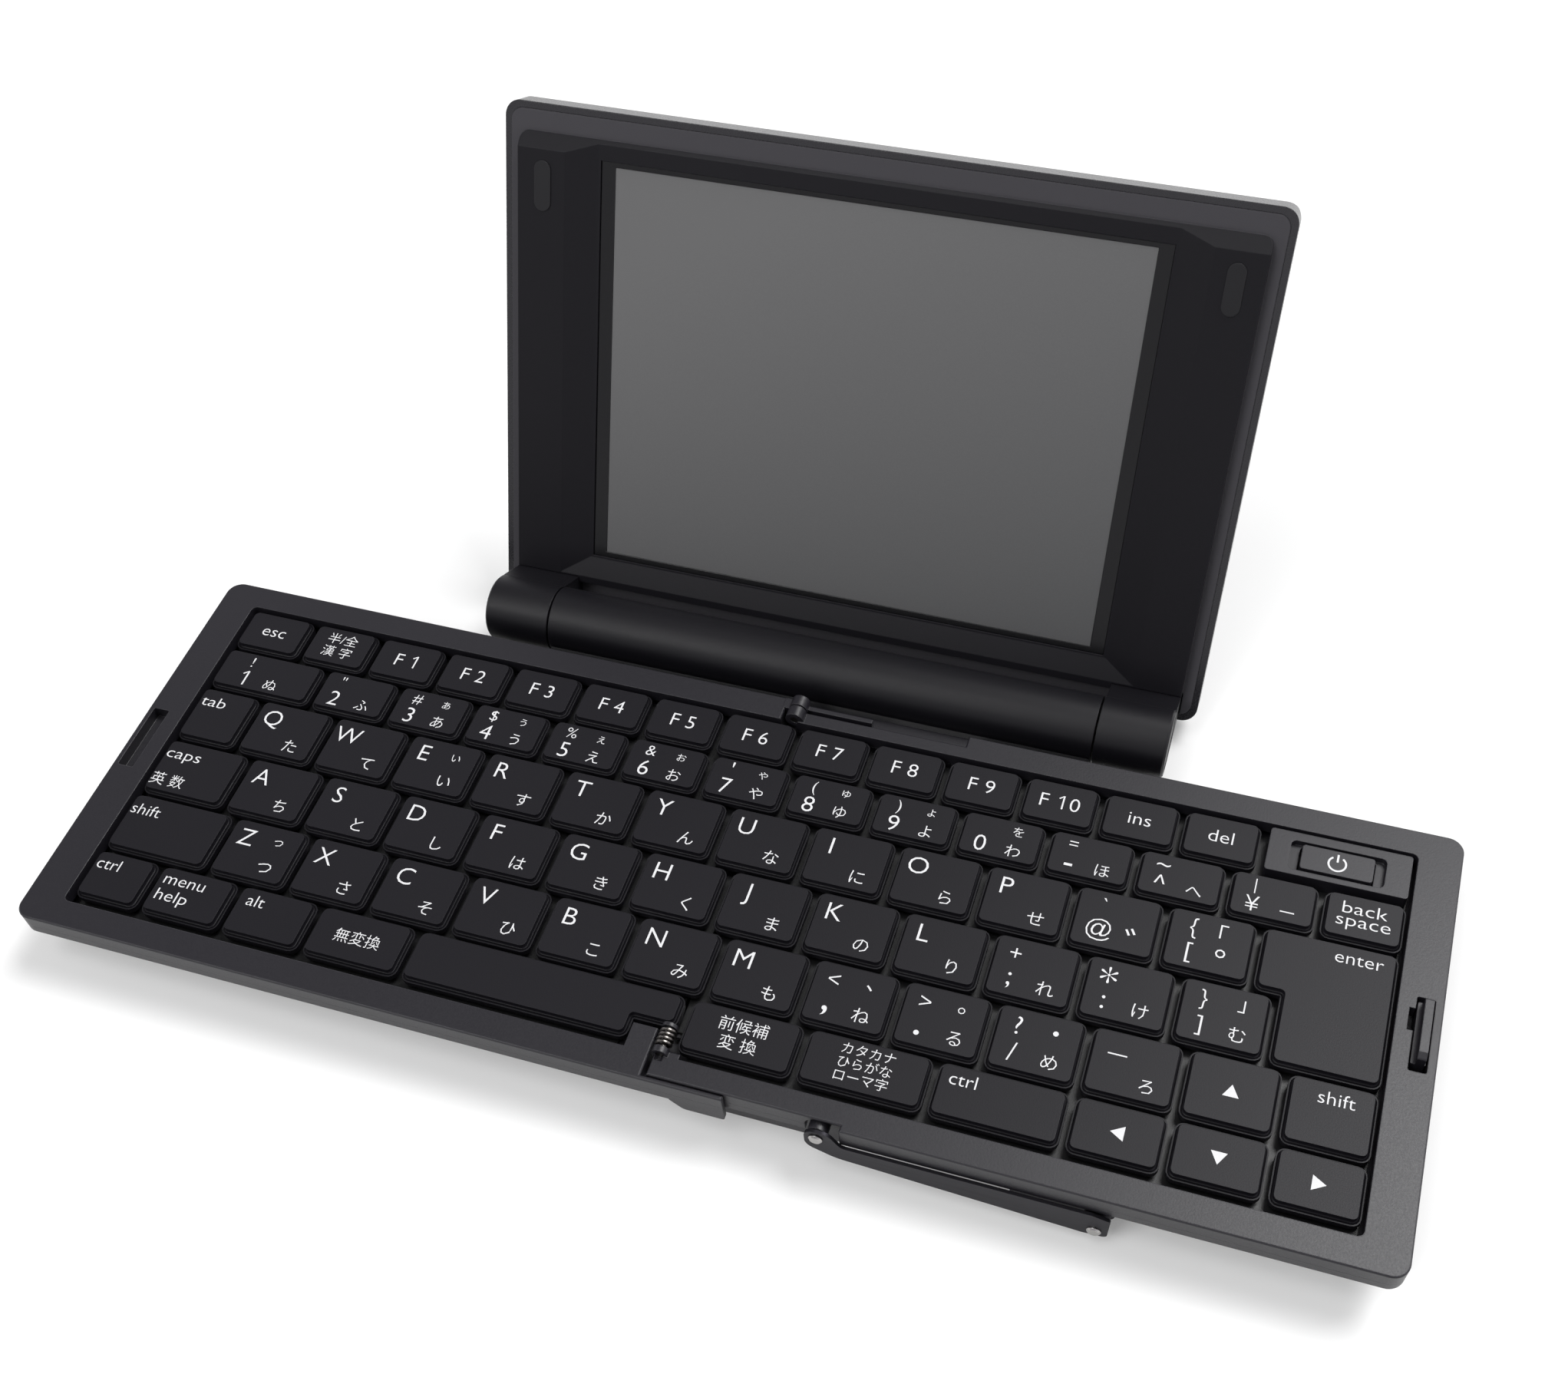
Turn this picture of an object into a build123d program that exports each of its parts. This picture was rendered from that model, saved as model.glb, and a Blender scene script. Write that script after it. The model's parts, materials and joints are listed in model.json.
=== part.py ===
from build123d import *
from math import atan2, cos, degrees, pi, radians, sin, sqrt, tan
import os

# Portable electronic word processor, modelled open and ready for typing.
# X runs to the right along the keyboard, Y runs back from the typist, Z is up.
# While it is being built, X = 0 is the fold line of the keyboard, Y = 0 lies just in front of the
# number row and Z = 0 is the table. The last lines move the finished set to the middle of its box.

# --- driving sizes, in millimetres ---------------------------------------------------------------
keyboard_width = 250.2
keyboard_front = -57.4
keyboard_back = 28.0
rim_top = 14.8
half_thickness = 5.0
fold_axis_rise = 0.15
side_rim = 7.6
well_front = -52.1
well_back = 22.7
corner_radius = 3.0
rim_ease = 0.25

key_pitch = 16.45
function_pitch = 14.86
key_gap = 1.95
row_gap = 1.6
key_depth = 12.0
shallow_key_depth = 9.0
bottom_key_depth = 9.6
function_row_back = 21.9
key_recess = 0.3
key_top_thickness = 1.2
key_skirt_height = 1.1
key_skirt_lip = 0.45
key_wall = 1.1
key_corner = 1.2
key_travel = 1.1
plunger_width = 3.0
plunger_gap = 0.15
guide_wall = 0.9

base_half_width = 73.0
base_front = -53.4
base_back = 31.6
base_floor = 1.0
deck_thickness = 1.6
deck_gap = 0.8
base_corner = 5.0
base_ease = 0.8
base_wall = 1.5

barrel_radius = 6.62
barrel_clearance = 0.72
barrel_z = 10.83
barrel_half_length = 56.0
barrel_end = 70.0
barrel_gap = 0.4
hinge_pin_radius = 1.5

lid_half_width = 73.46
lid_foot = -0.2
lid_top = 97.54
lid_lean = 64.61
lid_wall = 1.3
lid_flange = -11.7
lid_side_panel = -9.65
lid_centre = -10.9
lid_edge_depth = -18.8
lid_crown = -20.6
glass_half_width = 53.7
glass_bottom = 10.6
glass_top = 89.0
screen_half_width = 50.8
screen_bottom = 11.82
screen_top = 88.02
screen_face = -11.2

arm_pivot_x = 29.6
arm_pivot_drop = 2.9
arm_foot_x = 76.9
arm_foot_z = 4.8
arm_thickness = 0.6
running_gap = 0.3
bearing_gap = 0.05

# --- sizes worked out from them ------------------------------------------------------------------
half_width = keyboard_width / 2
well_edge = half_width - side_rim
half_bottom = rim_top - half_thickness
fold_axis_height = rim_top + fold_axis_rise
base_deck = half_bottom - deck_gap
barrel_y = base_back + barrel_radius + barrel_clearance
arm_pivot_z = rim_top - arm_pivot_drop
shell_top = half_bottom + 2.2
floor_top = half_bottom + 0.6
membrane_top = floor_top + 0.2
plate_top = membrane_top + 0.3
key_top = rim_top - key_recess
key_step = key_top - key_top_thickness
key_bottom = key_step - key_skirt_height
plunger_bottom = plate_top + key_travel + 0.15
set_back_front = keyboard_front + 1.2
set_back_back = 25.4
set_back_end = 33.4
arm_back = keyboard_front - running_gap
arm_front = arm_back - arm_thickness


# --- helpers -------------------------------------------------------------------------------------
def outline(corners):
    # closed flat face; a corner is (x, y) or (x, y, radius)
    joints = []
    count = len(corners)
    for i in range(count):
        point = Vector(corners[i][0], corners[i][1])
        radius = corners[i][2] if len(corners[i]) > 2 else 0
        before = (Vector(*corners[i - 1][:2]) - point).normalized()
        after = (Vector(*corners[(i + 1) % count][:2]) - point).normalized()
        half = radians(before.get_angle(after)) / 2
        cut = radius / tan(half)
        middle = point + (before + after).normalized() * (radius / sin(half)
                                                          - radius) if radius else point
        joints.append((point + before * cut, middle, point + after * cut, radius))
    edges = []
    for i, (start, middle, end, radius) in enumerate(joints):
        if radius:
            edges.append(ThreePointArc(start, middle, end))
        edges.append(Line(end, joints[(i + 1) % count][0]))
    return Face(Wire(edges))


def box(x0, x1, y0, y1, z0, z1):
    return Pos((x0 + x1) / 2, (y0 + y1) / 2, (z0 + z1) / 2) * Box(x1 - x0, y1 - y0, z1 - z0)


def slab(x0, x1, y0, y1, z0, z1, radius):
    face = Pos((x0 + x1) / 2, (y0 + y1) / 2, z0) * RectangleRounded(x1 - x0, y1 - y0, radius)
    return extrude(face, z1 - z0)


def plan(corners, z0, z1):
    return extrude(Pos(0, 0, z0) * outline(corners), z1 - z0, dir=(0, 0, 1))


def eased(corners, z0, z1, ease, end=-1):
    # a plan with its top edge chamfered, or its bottom edge if end is 0
    block = plan(corners, z0, z1)
    return chamfer(block.faces().sort_by(Axis.Z)[end].edges(), ease)


def elevation(corners, y0, y1):
    # corners are (x, z) and the solid runs from y0 to y1
    plane = Plane(origin=(0, y0, 0), x_dir=(1, 0, 0), z_dir=(0, -1, 0))
    return extrude(plane * outline(corners), y1 - y0, dir=(0, 1, 0))


def section(corners, x0, x1):
    # corners are (y, z) and the solid runs from x0 to x1
    plane = Plane(origin=(x0, 0, 0), x_dir=(0, 1, 0), z_dir=(1, 0, 0))
    return extrude(plane * outline(corners), x1 - x0, dir=(1, 0, 0))


def rod_x(radius, x0, x1, y, z):
    return Pos((x0 + x1) / 2, y, z) * Rot(0, 90, 0) * Cylinder(radius, x1 - x0)


def rod_y(radius, y0, y1, x, z):
    return Pos(x, (y0 + y1) / 2, z) * Rot(90, 0, 0) * Cylinder(radius, y1 - y0)


def rod_z(radius, z0, z1, x, y):
    return Pos(x, y, (z0 + z1) / 2) * Cylinder(radius, z1 - z0)


def mirrored(shape):
    return mirror(shape, about=Plane.YZ)


nodes = {}


def keep(name, *pieces):
    nodes[name] = pieces[0] if len(pieces) == 1 else Compound(list(pieces))


# --- rows of keys --------------------------------------------------------------------------------
function_front = function_row_back - shallow_key_depth
number_back = function_front - row_gap
number_front = number_back - shallow_key_depth
upper_back = number_front - row_gap
upper_front = upper_back - key_depth
home_back = upper_front - row_gap
home_front = home_back - key_depth
lower_back = home_front - row_gap
lower_front = lower_back - key_depth
bottom_back = lower_front - row_gap
bottom_front = bottom_back - bottom_key_depth

# where each row is split between the two halves, as distances from the fold line
function_split = 1.4
number_split = 3.7
upper_split = -5.5
home_split = -0.75
lower_split = 3.1
bottom_split = 1.0
bottom_split_right = 1.5
row_end = well_edge


def plunger(x, y):
    half = plunger_width / 2
    return box(x - half, x + half, y - half, y + half, plunger_bottom, key_top - key_wall)


def guide(x, y):
    # square collar on the key plate that the plunger slides in
    half = plunger_width / 2 + plunger_gap
    outer = half + guide_wall
    collar = box(x - outer, x + outer, y - outer, y + outer, plate_top, plunger_bottom)
    return collar - box(x - half, x + half, y - half, y + half, plate_top, plunger_bottom)


def key_solid(corners_top, corners_lip, corners_hollow):
    cap = plan(corners_top, key_step, key_top)
    skirt = plan(corners_lip, key_bottom, key_step)
    hollow = plan(corners_hollow, key_bottom, key_top - key_wall)
    return cap + skirt - hollow


def key(x0, x1, front, back):
    # x0 and x1 are the middles of the gaps beside the key
    left = x0 + key_gap / 2
    right = x1 - key_gap / 2
    lip = key_skirt_lip
    wall = key_wall - lip
    top = [(left, front, key_corner), (right, front, key_corner), (right, back, key_corner),
           (left, back, key_corner)]
    skirt = [(left - lip, front - lip), (right + lip, front - lip), (right + lip, back + lip),
             (left - lip, back + lip)]
    inner = [(left + wall, front + wall), (right - wall, front + wall), (right - wall, back - wall),
             (left + wall, back - wall)]
    return key_solid(top, skirt, inner) + plunger((left + right) / 2, (front + back) / 2)


def key_row(edges, front, back):
    return [key(edges[i], edges[i + 1], front, back) for i in range(len(edges) - 1)]


def left_edges(split, pitch, count):
    return [-row_end] + [split - pitch * i for i in range(count, -1, -1)]


def right_edges(split, pitch, count, last=True):
    edges = [split + pitch * i for i in range(count + 1)]
    return edges + [row_end] if last else edges


def homing_bar(x, front):
    return box(x - 1.25, x + 1.25, front + 1.6, front + 2.1, key_top, key_top + 0.2)


full_keys = 6
bottom_left_widths = [13.7, 16.7, 16.5, 19.7]
bottom_right_widths = [21.2, 22.9, 23.3, key_pitch, key_pitch]
bottom_edges = [-row_end]
for width in bottom_left_widths:
    bottom_edges.append(bottom_edges[-1] + width)
bottom_edges_right = [bottom_split_right]
for width in bottom_right_widths:
    bottom_edges_right.append(bottom_edges_right[-1] + width)
bottom_edges_right.append(row_end)
left_rows = {
    "left_function_keys": (left_edges(function_split, function_pitch, 7), function_front,
                           function_row_back),
    "left_number_keys": (left_edges(number_split, key_pitch, full_keys), number_front, number_back),
    "left_upper_letter_keys": (left_edges(upper_split, key_pitch, full_keys), upper_front, upper_back),
    "left_home_keys": (left_edges(home_split, key_pitch, full_keys), home_front, home_back),
    "left_lower_letter_keys": (left_edges(lower_split, key_pitch, full_keys), lower_front, lower_back),
    "left_bottom_keys": (bottom_edges, bottom_front, bottom_back),
}
right_rows = {
    "right_function_keys": (right_edges(function_split, function_pitch, full_keys, False),
                            function_front, function_row_back),
    "right_number_keys": (right_edges(number_split, key_pitch, full_keys), number_front, number_back),
    "right_upper_letter_keys": (right_edges(upper_split, key_pitch, full_keys, False), upper_front,
                                upper_back),
    "right_home_keys": (right_edges(home_split, key_pitch, full_keys, False), home_front, home_back),
    "right_lower_letter_keys": (right_edges(lower_split, key_pitch, full_keys), lower_front,
                                lower_back),
    "right_bottom_keys": (bottom_edges_right, bottom_front, bottom_back),
}
homing_keys = {"left_home_keys": 4, "right_home_keys": 0}
left_guides = []
right_guides = []
for rows, guides in ((left_rows, left_guides), (right_rows, right_guides)):
    for name, (edges, front, back) in rows.items():
        keys = key_row(edges, front, back)
        middles = [(edges[i] + edges[i + 1]) / 2 for i in range(len(keys))]
        guides.extend(guide(x, (front + back) / 2) for x in middles)
        if name in homing_keys:
            finger = homing_keys[name]
            keys[finger] = keys[finger] + homing_bar(middles[finger], front)
        keep(name, *keys)

# The space bar gives way to the front fold spring at its right end.
space_left = bottom_edges[-1] + key_gap / 2
space_right = bottom_split - key_gap / 2
space_notch_x = -7.7
space_notch_y = bottom_front + 4.1


def space_outline(grow, corner):
    notch = grow
    return [(space_left - grow, bottom_front - grow, corner), (space_notch_x + notch,
                                                               bottom_front - grow, corner),
            (space_notch_x + notch, space_notch_y - grow, corner / 2), (space_right + grow,
                                                                        space_notch_y - grow, corner),
            (space_right + grow, bottom_back + grow, corner), (space_left - grow, bottom_back + grow,
                                                               corner)]


lip = key_skirt_lip
space_bar = key_solid(space_outline(0, key_corner), space_outline(lip, 0),
                      space_outline(lip - key_wall, 0))
for share in (0.25, 0.7):
    x = space_left + (space_right - space_left) * share
    y = (bottom_front + bottom_back) / 2
    space_bar = space_bar + plunger(x, y)
    left_guides.append(guide(x, y))
keep("space_bar", space_bar)

# The enter key is two rows deep and wider in its back row.
enter_left = upper_split + key_pitch * full_keys + key_gap / 2
enter_step = home_split + key_pitch * full_keys + key_gap / 2
enter_right = row_end - key_gap / 2


def enter_outline(grow, corner):
    return [(enter_step - grow, home_front - grow, corner), (enter_right + grow, home_front - grow,
                                                             corner),
            (enter_right + grow, upper_back + grow, corner), (enter_left - grow, upper_back + grow,
                                                              corner),
            (enter_left - grow, upper_front - grow, corner), (enter_step - grow, upper_front - grow,
                                                              corner / 2)]


enter_x = (enter_step + enter_right) / 2
enter_y = (upper_back + home_front) / 2
enter_key = key_solid(enter_outline(0, key_corner), enter_outline(lip, 0),
                      enter_outline(lip - key_wall, 0))
keep("enter_key", enter_key + plunger(enter_x, enter_y))
right_guides.append(guide(enter_x, enter_y))

# --- fold hinge places ---------------------------------------------------------------------------
front_eye_radius = 1.45
rear_eye_radius = 1.8
spring_front = -50.8
spring_back = -47.2
right_front_eye = (-52.2, spring_front - 0.2)
left_front_eye = (spring_back + 0.1, -46.4)
right_rear_eye = (22.9, 25.2)
left_rear_eye = (25.5, 27.8)
fold_pin_radius = 0.7
front_block_left = -6.5
front_block_right = -1.9
front_block_back = -47.4
ear_end = 12.9
ear_back = keyboard_front + 0.9
strip_front = 26.1
strip_back = 27.0
strip_end = 14.6
fold_gap = 0.3
right_block_left = -1.0
rear_notch = -2.7


def fold_eye(radius, span):
    return rod_y(radius, span[0], span[1], 0, fold_axis_height)


def fold_bore(radius, span):
    return rod_y(radius, span[0] - 1, span[1] + 1, 0, fold_axis_height)


# --- keyboard halves -----------------------------------------------------------------------------
row_middle_upper = (number_front + upper_back) / 2
row_middle_home = (upper_front + home_back) / 2
row_middle_number = (function_front + number_back) / 2
left_floor_notch = -4.7
right_floor_notch = 2.0


def left_floor(inset):
    # inner edge steps back where the U key of the right half hangs across the fold line
    return [(-well_edge + inset, well_front + inset), (front_block_left - 2.5, well_front + inset),
            (front_block_left - 2.5, bottom_front + 4.4), (-fold_gap, bottom_front + 4.4),
            (-fold_gap, row_middle_home), (left_floor_notch, row_middle_home),
            (left_floor_notch, row_middle_upper), (-fold_gap, row_middle_upper),
            (-fold_gap, well_back - inset), (-well_edge + inset, well_back - inset)]


def right_floor(inset):
    # inner edge steps back under the key of the number row that hangs across the fold line
    return [(front_gap_right + inset, well_front + inset), (well_edge - inset, well_front + inset),
            (well_edge - inset, well_back - inset), (fold_gap, well_back - inset),
            (fold_gap, row_middle_number), (right_floor_notch, row_middle_number),
            (right_floor_notch, row_middle_upper), (fold_gap, row_middle_upper),
            (fold_gap, bottom_front + 4.4), (front_gap_right + inset, bottom_front + 4.4)]


front_gap_right = 3.4
left_outer = [(-half_width, keyboard_front, corner_radius), (ear_end, keyboard_front),
              (ear_end, ear_back),
              (front_block_right, ear_back), (front_block_right, front_block_back),
              (-fold_gap, front_block_back), (-fold_gap, right_rear_eye[0] - 0.3),
              (rear_notch, right_rear_eye[0] - 0.3), (rear_notch, left_rear_eye[0]),
              (-fold_gap, left_rear_eye[0]), (-fold_gap, keyboard_back), (-half_width, keyboard_back,
                                                                          corner_radius)]
right_outer = [(right_block_left, set_back_front), (set_back_end, set_back_front),
               (set_back_end, keyboard_front), (half_width, keyboard_front, corner_radius),
               (half_width, keyboard_back, corner_radius), (set_back_end, keyboard_back),
               (set_back_end, set_back_back), (fold_gap, set_back_back),
               (fold_gap, left_front_eye[1] + 0.3), (front_gap_right, left_front_eye[1] + 0.3),
               (front_gap_right, right_front_eye[1]), (right_block_left, right_front_eye[1], 0.8)]

hook_front = -19.3
hook_back = -7.3
latch_travel = 1.2
latch_slot = (half_width - 4.6, half_width - 1.5, hook_front - latch_travel - 0.4, hook_back + 0.8)
catch_slot = (-half_width + 1.1, -half_width + 4.4, hook_front - latch_travel - 0.8, hook_back + 0.4)
well_radius = 1.2

left_well = plan([(-well_edge, well_front, well_radius), (front_block_left, well_front),
                  (front_block_left, front_block_back),
                  (20, front_block_back), (20, well_back), (-well_edge, well_back, well_radius)], 0, 20)
frame_left = eased(left_outer, shell_top, rim_top, rim_ease) - left_well
strip = box(-fold_gap, strip_end, strip_front, strip_back, shell_top, rim_top)
catch_pocket = slab(*catch_slot, rim_top - 2.4, rim_top + 1, 0.4)
rear_stand = box(-3.2, 0, left_rear_eye[0], left_rear_eye[1], shell_top, fold_axis_height)
frame_left = frame_left + strip + rear_stand + fold_eye(rear_eye_radius, left_rear_eye) - catch_pocket
frame_left = frame_left - fold_bore(fold_pin_radius, left_rear_eye)
keep("left_keyboard_frame", frame_left)

right_well = plan([(front_gap_right, well_front), (well_edge, well_front, well_radius),
                   (well_edge, well_back, well_radius),
                   (-20, well_back), (-20, left_front_eye[1] + 0.3), (front_gap_right,
                                                                      left_front_eye[1] + 0.3)], 0, 20)
frame_right = eased(right_outer, shell_top, rim_top, rim_ease) - right_well
frame_right = frame_right + fold_eye(rear_eye_radius, right_rear_eye) + fold_eye(front_eye_radius,
                                                                                 right_front_eye)
frame_right = frame_right - fold_bore(fold_pin_radius + bearing_gap, right_rear_eye)
frame_right = frame_right - fold_bore(fold_pin_radius + bearing_gap, (right_front_eye[0],
                                                                      right_front_eye[1]))
latch_pocket = slab(*latch_slot, shell_top - 1, rim_top + 1, 0.4)
latch_pocket = latch_pocket + box(latch_slot[0] - 1, latch_slot[0] + 0.5, -13.3, -8.9, shell_top - 1, rim_top + 1)
arm_pocket = elevation([(arm_pivot_x - 2.6, 0), (set_back_end, 0), (set_back_end, rim_top - 0.7),
                        (arm_pivot_x - 2.6, rim_top - 0.7, 2.2)], keyboard_front, set_back_front + 1.4)
pivot_boss = rod_y(1.8, keyboard_front, set_back_front + 1.4, arm_pivot_x, arm_pivot_z)
frame_right = frame_right - latch_pocket - arm_pocket
keep("right_keyboard_frame", frame_right)

screw_end = half_width - 6.6
screw_front = keyboard_front + 2.7
screw_back = keyboard_back - 2.8
screw_places_left = [(-screw_end, screw_front), (-60.0, screw_front), (-screw_end, screw_back),
                     (-60.0, screw_back)]
screw_radius = 1.5
boss_radius = 2.1


def lower_shell(outer, rim_pocket, screws):
    shell = eased(outer, half_bottom, shell_top, rim_ease, 0)
    shell = shell - plan(rim_pocket, floor_top, shell_top + 1)
    for x, y in screws:
        shell = shell + rod_z(boss_radius, half_bottom, shell_top, x, y)
        shell = shell - rod_z(screw_radius, half_bottom - 1, shell_top + 1, x, y)
    return shell


left_rim_pocket = [(-half_width + 1.4, keyboard_front + 1.4, 1.6), (front_block_left - 2,
                                                                    keyboard_front + 1.4),
                   (front_block_left - 2, well_front), (front_block_left - 0.4, well_front),
                   (front_block_left - 0.4, front_block_back + 0.5), (5, front_block_back + 0.5), (5,
                                                                                                   well_back),
                   (-5, well_back), (-5, keyboard_back - 1.4), (-half_width + 1.4, keyboard_back - 1.4,
                                                                1.6)]
left_shell = lower_shell(left_outer, left_rim_pocket, screw_places_left)
left_notch = box(left_floor_notch, 5, row_middle_home, row_middle_upper, 0, 20)
left_post = fold_eye(front_eye_radius, left_front_eye) + box(-front_eye_radius, -fold_gap,
                                                             left_front_eye[0],
                                                             left_front_eye[1], half_bottom, fold_axis_height)
tab = elevation([(3.0, shell_top), (3.0, half_bottom), (5.3, half_bottom - 2.3, 1.6),
                 (ear_end, half_bottom - 2.3, 0.6),
                 (ear_end, shell_top)], keyboard_front, ear_back)
left_shell = left_shell - left_notch + left_post + tab - fold_bore(fold_pin_radius, left_front_eye)
keep("left_lower_shell", left_shell)

screw_places_right = [(-x, y) for x, y in screw_places_left]
right_rim_pocket = [(front_gap_right + 5, set_back_front + 1.6), (set_back_end + 1,
                                                                  set_back_front + 1.6),
                    (set_back_end + 1, keyboard_front + 1.4), (half_width - 1.4, keyboard_front + 1.4,
                                                               1.6),
                    (half_width - 1.4, keyboard_back - 1.4, 1.6), (set_back_end + 1,
                                                                   keyboard_back - 1.4),
                    (set_back_end + 1, well_back), (-5, well_back), (-5,
                                                                     well_front), (front_gap_right + 5,
                                                                                   well_front)]
right_shell = lower_shell(right_outer, right_rim_pocket, screw_places_right)
right_notch = box(-5, right_floor_notch, row_middle_upper, row_middle_number, 0, 20)
rivet_radius = 0.9
right_shell = right_shell - right_notch - arm_pocket
keep("right_lower_shell", right_shell)
keep("arm_pivot_boss", pivot_boss - rod_y(rivet_radius, keyboard_front - 1, set_back_front + 3,
                                          arm_pivot_x, arm_pivot_z))


def key_plate(floor, guides):
    plate = plan(floor, membrane_top, plate_top)
    reach = plan(floor, plate_top, plunger_bottom)
    return plate.fuse(*[collar & reach for collar in guides])


keep("left_key_plate", key_plate(left_floor(0.4), left_guides))
keep("right_key_plate", key_plate(right_floor(0.4), right_guides))
keep("left_switch_membrane", plan(left_floor(0.6), floor_top, membrane_top))
keep("right_switch_membrane", plan(right_floor(0.6), floor_top, membrane_top))


def half_screws(places):
    return [rod_z(screw_radius, half_bottom + 0.1, half_bottom + 1.9, x, y) for x, y in places]


keep("left_half_screws", *half_screws(screw_places_left))
keep("right_half_screws", *half_screws(screw_places_right))

front_pin = rod_y(fold_pin_radius, right_front_eye[0] + 0.1, left_front_eye[1], 0, fold_axis_height)
rear_pin = rod_y(fold_pin_radius, right_rear_eye[0] + 0.1, left_rear_eye[1], 0, fold_axis_height)
keep("fold_hinge_pins", front_pin, rear_pin)

# torsion spring on the front pin, its wire drawn with six flats
spring_wire = 0.3
spring_radius = 1.25
spring_pitch = 0.8
spring_turns = 4
coil = Helix(pitch=spring_pitch, height=spring_pitch * (spring_turns - 0.25), radius=spring_radius)
coil_solid = sweep(Plane(coil @ 0, z_dir=coil % 0) * RegularPolygon(spring_wire, 6), path=coil, is_frenet=True)
coil_solid = Pos(0, spring_back - spring_wire - 0.05, fold_axis_height) * Rot(90, 0, 0) * coil_solid
keep("fold_torsion_spring", coil_solid)

# power button and its panel
panel_left = function_split + function_pitch * full_keys + key_gap / 2
panel_right = row_end - 0.8
panel_centre_y = (function_front + function_row_back) / 2 - 0.2
button_x = (panel_left + panel_right) / 2 - 0.2
button_width = 12.8
button_depth = 5.2
recess_width = 16.9
recess_depth = 6.4
panel = slab(panel_left, panel_right, function_front, function_row_back + 0.3, plate_top, key_top, 0.6)
recess = slab(button_x - recess_width / 2, button_x + recess_width / 2,
              panel_centre_y - recess_depth / 2,
              panel_centre_y + recess_depth / 2, key_top - 1.3, key_top + 1, 1.0)
button_hole = slab(button_x - button_width / 2 - 0.3, button_x + button_width / 2 + 0.3,
                   panel_centre_y - button_depth / 2 - 0.3, panel_centre_y + button_depth / 2 + 0.3,
                   plate_top - 1, key_top + 1, 0.8)
keep("power_panel", panel - recess - button_hole)
button = slab(button_x - button_width / 2, button_x + button_width / 2,
              panel_centre_y - button_depth / 2,
              panel_centre_y + button_depth / 2, plate_top + 0.8, key_top + 0.1, 0.6)
keep("power_button", button)

# latch hook on the right rim
hook_x0 = half_width - 3.5
hook_x1 = half_width - 2.0
hook_rise = 2.1
hook_foot = slab(latch_slot[0] + 0.3, latch_slot[1] - 0.3, hook_front, hook_back, floor_top + 0.2,
                 rim_top - 0.4, 0.3)
hook_top = rim_top + hook_rise
hook_corners = [(hook_front, rim_top - 1), (hook_front, hook_top - 0.6, 0.4), (hook_front + 1.2, hook_top),
                (hook_back - 0.4, hook_top, 0.4), (hook_back, rim_top + 0.6), (hook_back, rim_top - 1)]
hook_bar = section(hook_corners, hook_x0, hook_x1)
keep("latch_hook", hook_foot + hook_bar)

# --- slide arm -----------------------------------------------------------------------------------
arm_top = rim_top - 4.4
arm_corners = [(arm_pivot_x - 2.1, arm_pivot_z + 2.1, 2.0), (arm_pivot_x + 2.1, arm_pivot_z + 2.1, 2.0),
               (arm_pivot_x + 4.3, arm_top, 1.6), (arm_foot_x - 0.6, arm_top - 0.2), (arm_foot_x + 2.4,
                                                                                      arm_top - 1.0, 0.6),
               (arm_foot_x + 2.2, arm_foot_z - 1.6, 1.0), (arm_foot_x - 2.0, arm_foot_z - 1.9, 1.2),
               (arm_pivot_x + 3.2, rim_top - 8.6, 8.0), (arm_pivot_x - 2.1, rim_top - 6.2, 2.6)]
arm = elevation(arm_corners, arm_front, arm_back)
arm = arm - rod_y(rivet_radius + bearing_gap, arm_front - 1, arm_back + 1, arm_pivot_x, arm_pivot_z)
arm = arm - rod_y(rivet_radius, arm_front - 1, arm_back + 1, arm_foot_x, arm_foot_z)
keep("slide_arm", arm)
rivet_head = 1.25
head_height = 0.5


def rivet(x, z, tail):
    head = Pos(x, arm_front - 0.05, z) * Rot(90, 0, 0) * Cylinder(rivet_head, head_height,
                                                                  align=(Align.CENTER, Align.CENTER,
                                                                         Align.MIN))
    head = chamfer(head.edges().sort_by(Axis.Y)[0], 0.3)
    return head + rod_y(rivet_radius, arm_front - 0.1, tail, x, z)


keep("arm_pivot_rivet", rivet(arm_pivot_x, arm_pivot_z, set_back_front + 1.4))
foot_rivet = Pos(0, 0.05, 0) * rivet(arm_foot_x, arm_foot_z, arm_back - 0.05)
keep("arm_foot_rivet", foot_rivet)

# --- base ----------------------------------------------------------------------------------------
seam_height = base_deck - deck_thickness
tray = slab(-base_half_width, base_half_width, base_front, base_back, base_floor, seam_height,
            base_corner)
tray_inside = slab(-base_half_width + base_wall, base_half_width - base_wall, base_front + base_wall,
                   base_back - base_wall, base_floor + 1.2, seam_height + 1, base_corner - base_wall)
under_edges = tray.faces().sort_by(Axis.Z)[0].edges()
tray = chamfer(under_edges, base_ease) - tray_inside
base_screw_places = [(-64, -44.5), (64, -44.5), (-64, 25), (64, 25)]
for x, y in base_screw_places:
    tray = tray + rod_z(3.0, base_floor, seam_height, x, y) - rod_z(1.5, base_floor - 1,
                                                                    seam_height + 1, x, y)
board_posts = [(-50, -30), (50, -30), (-50, 4), (50, 4)]
for x, y in board_posts:
    tray = tray + rod_z(2.0, base_floor + 1.0, base_floor + 2.2, x, y)
foot_places = [(-52, -46), (52, -46), (-52, 26), (52, 26)]
usb_y = -10.0
card_y = -24.0
usb_width = 7.7
usb_top = seam_height - 0.4
card_width = 12.0
tray = tray - box(-base_half_width - 1, -base_half_width + 3, usb_y - usb_width / 2,
                  usb_y + usb_width / 2, 4.0, usb_top + 0.2)
tray = tray - box(-base_half_width - 1, -base_half_width + 3, card_y - card_width / 2,
                  card_y + card_width / 2, 4.2, 5.8)
keep("base_lower_shell", tray)

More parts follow.
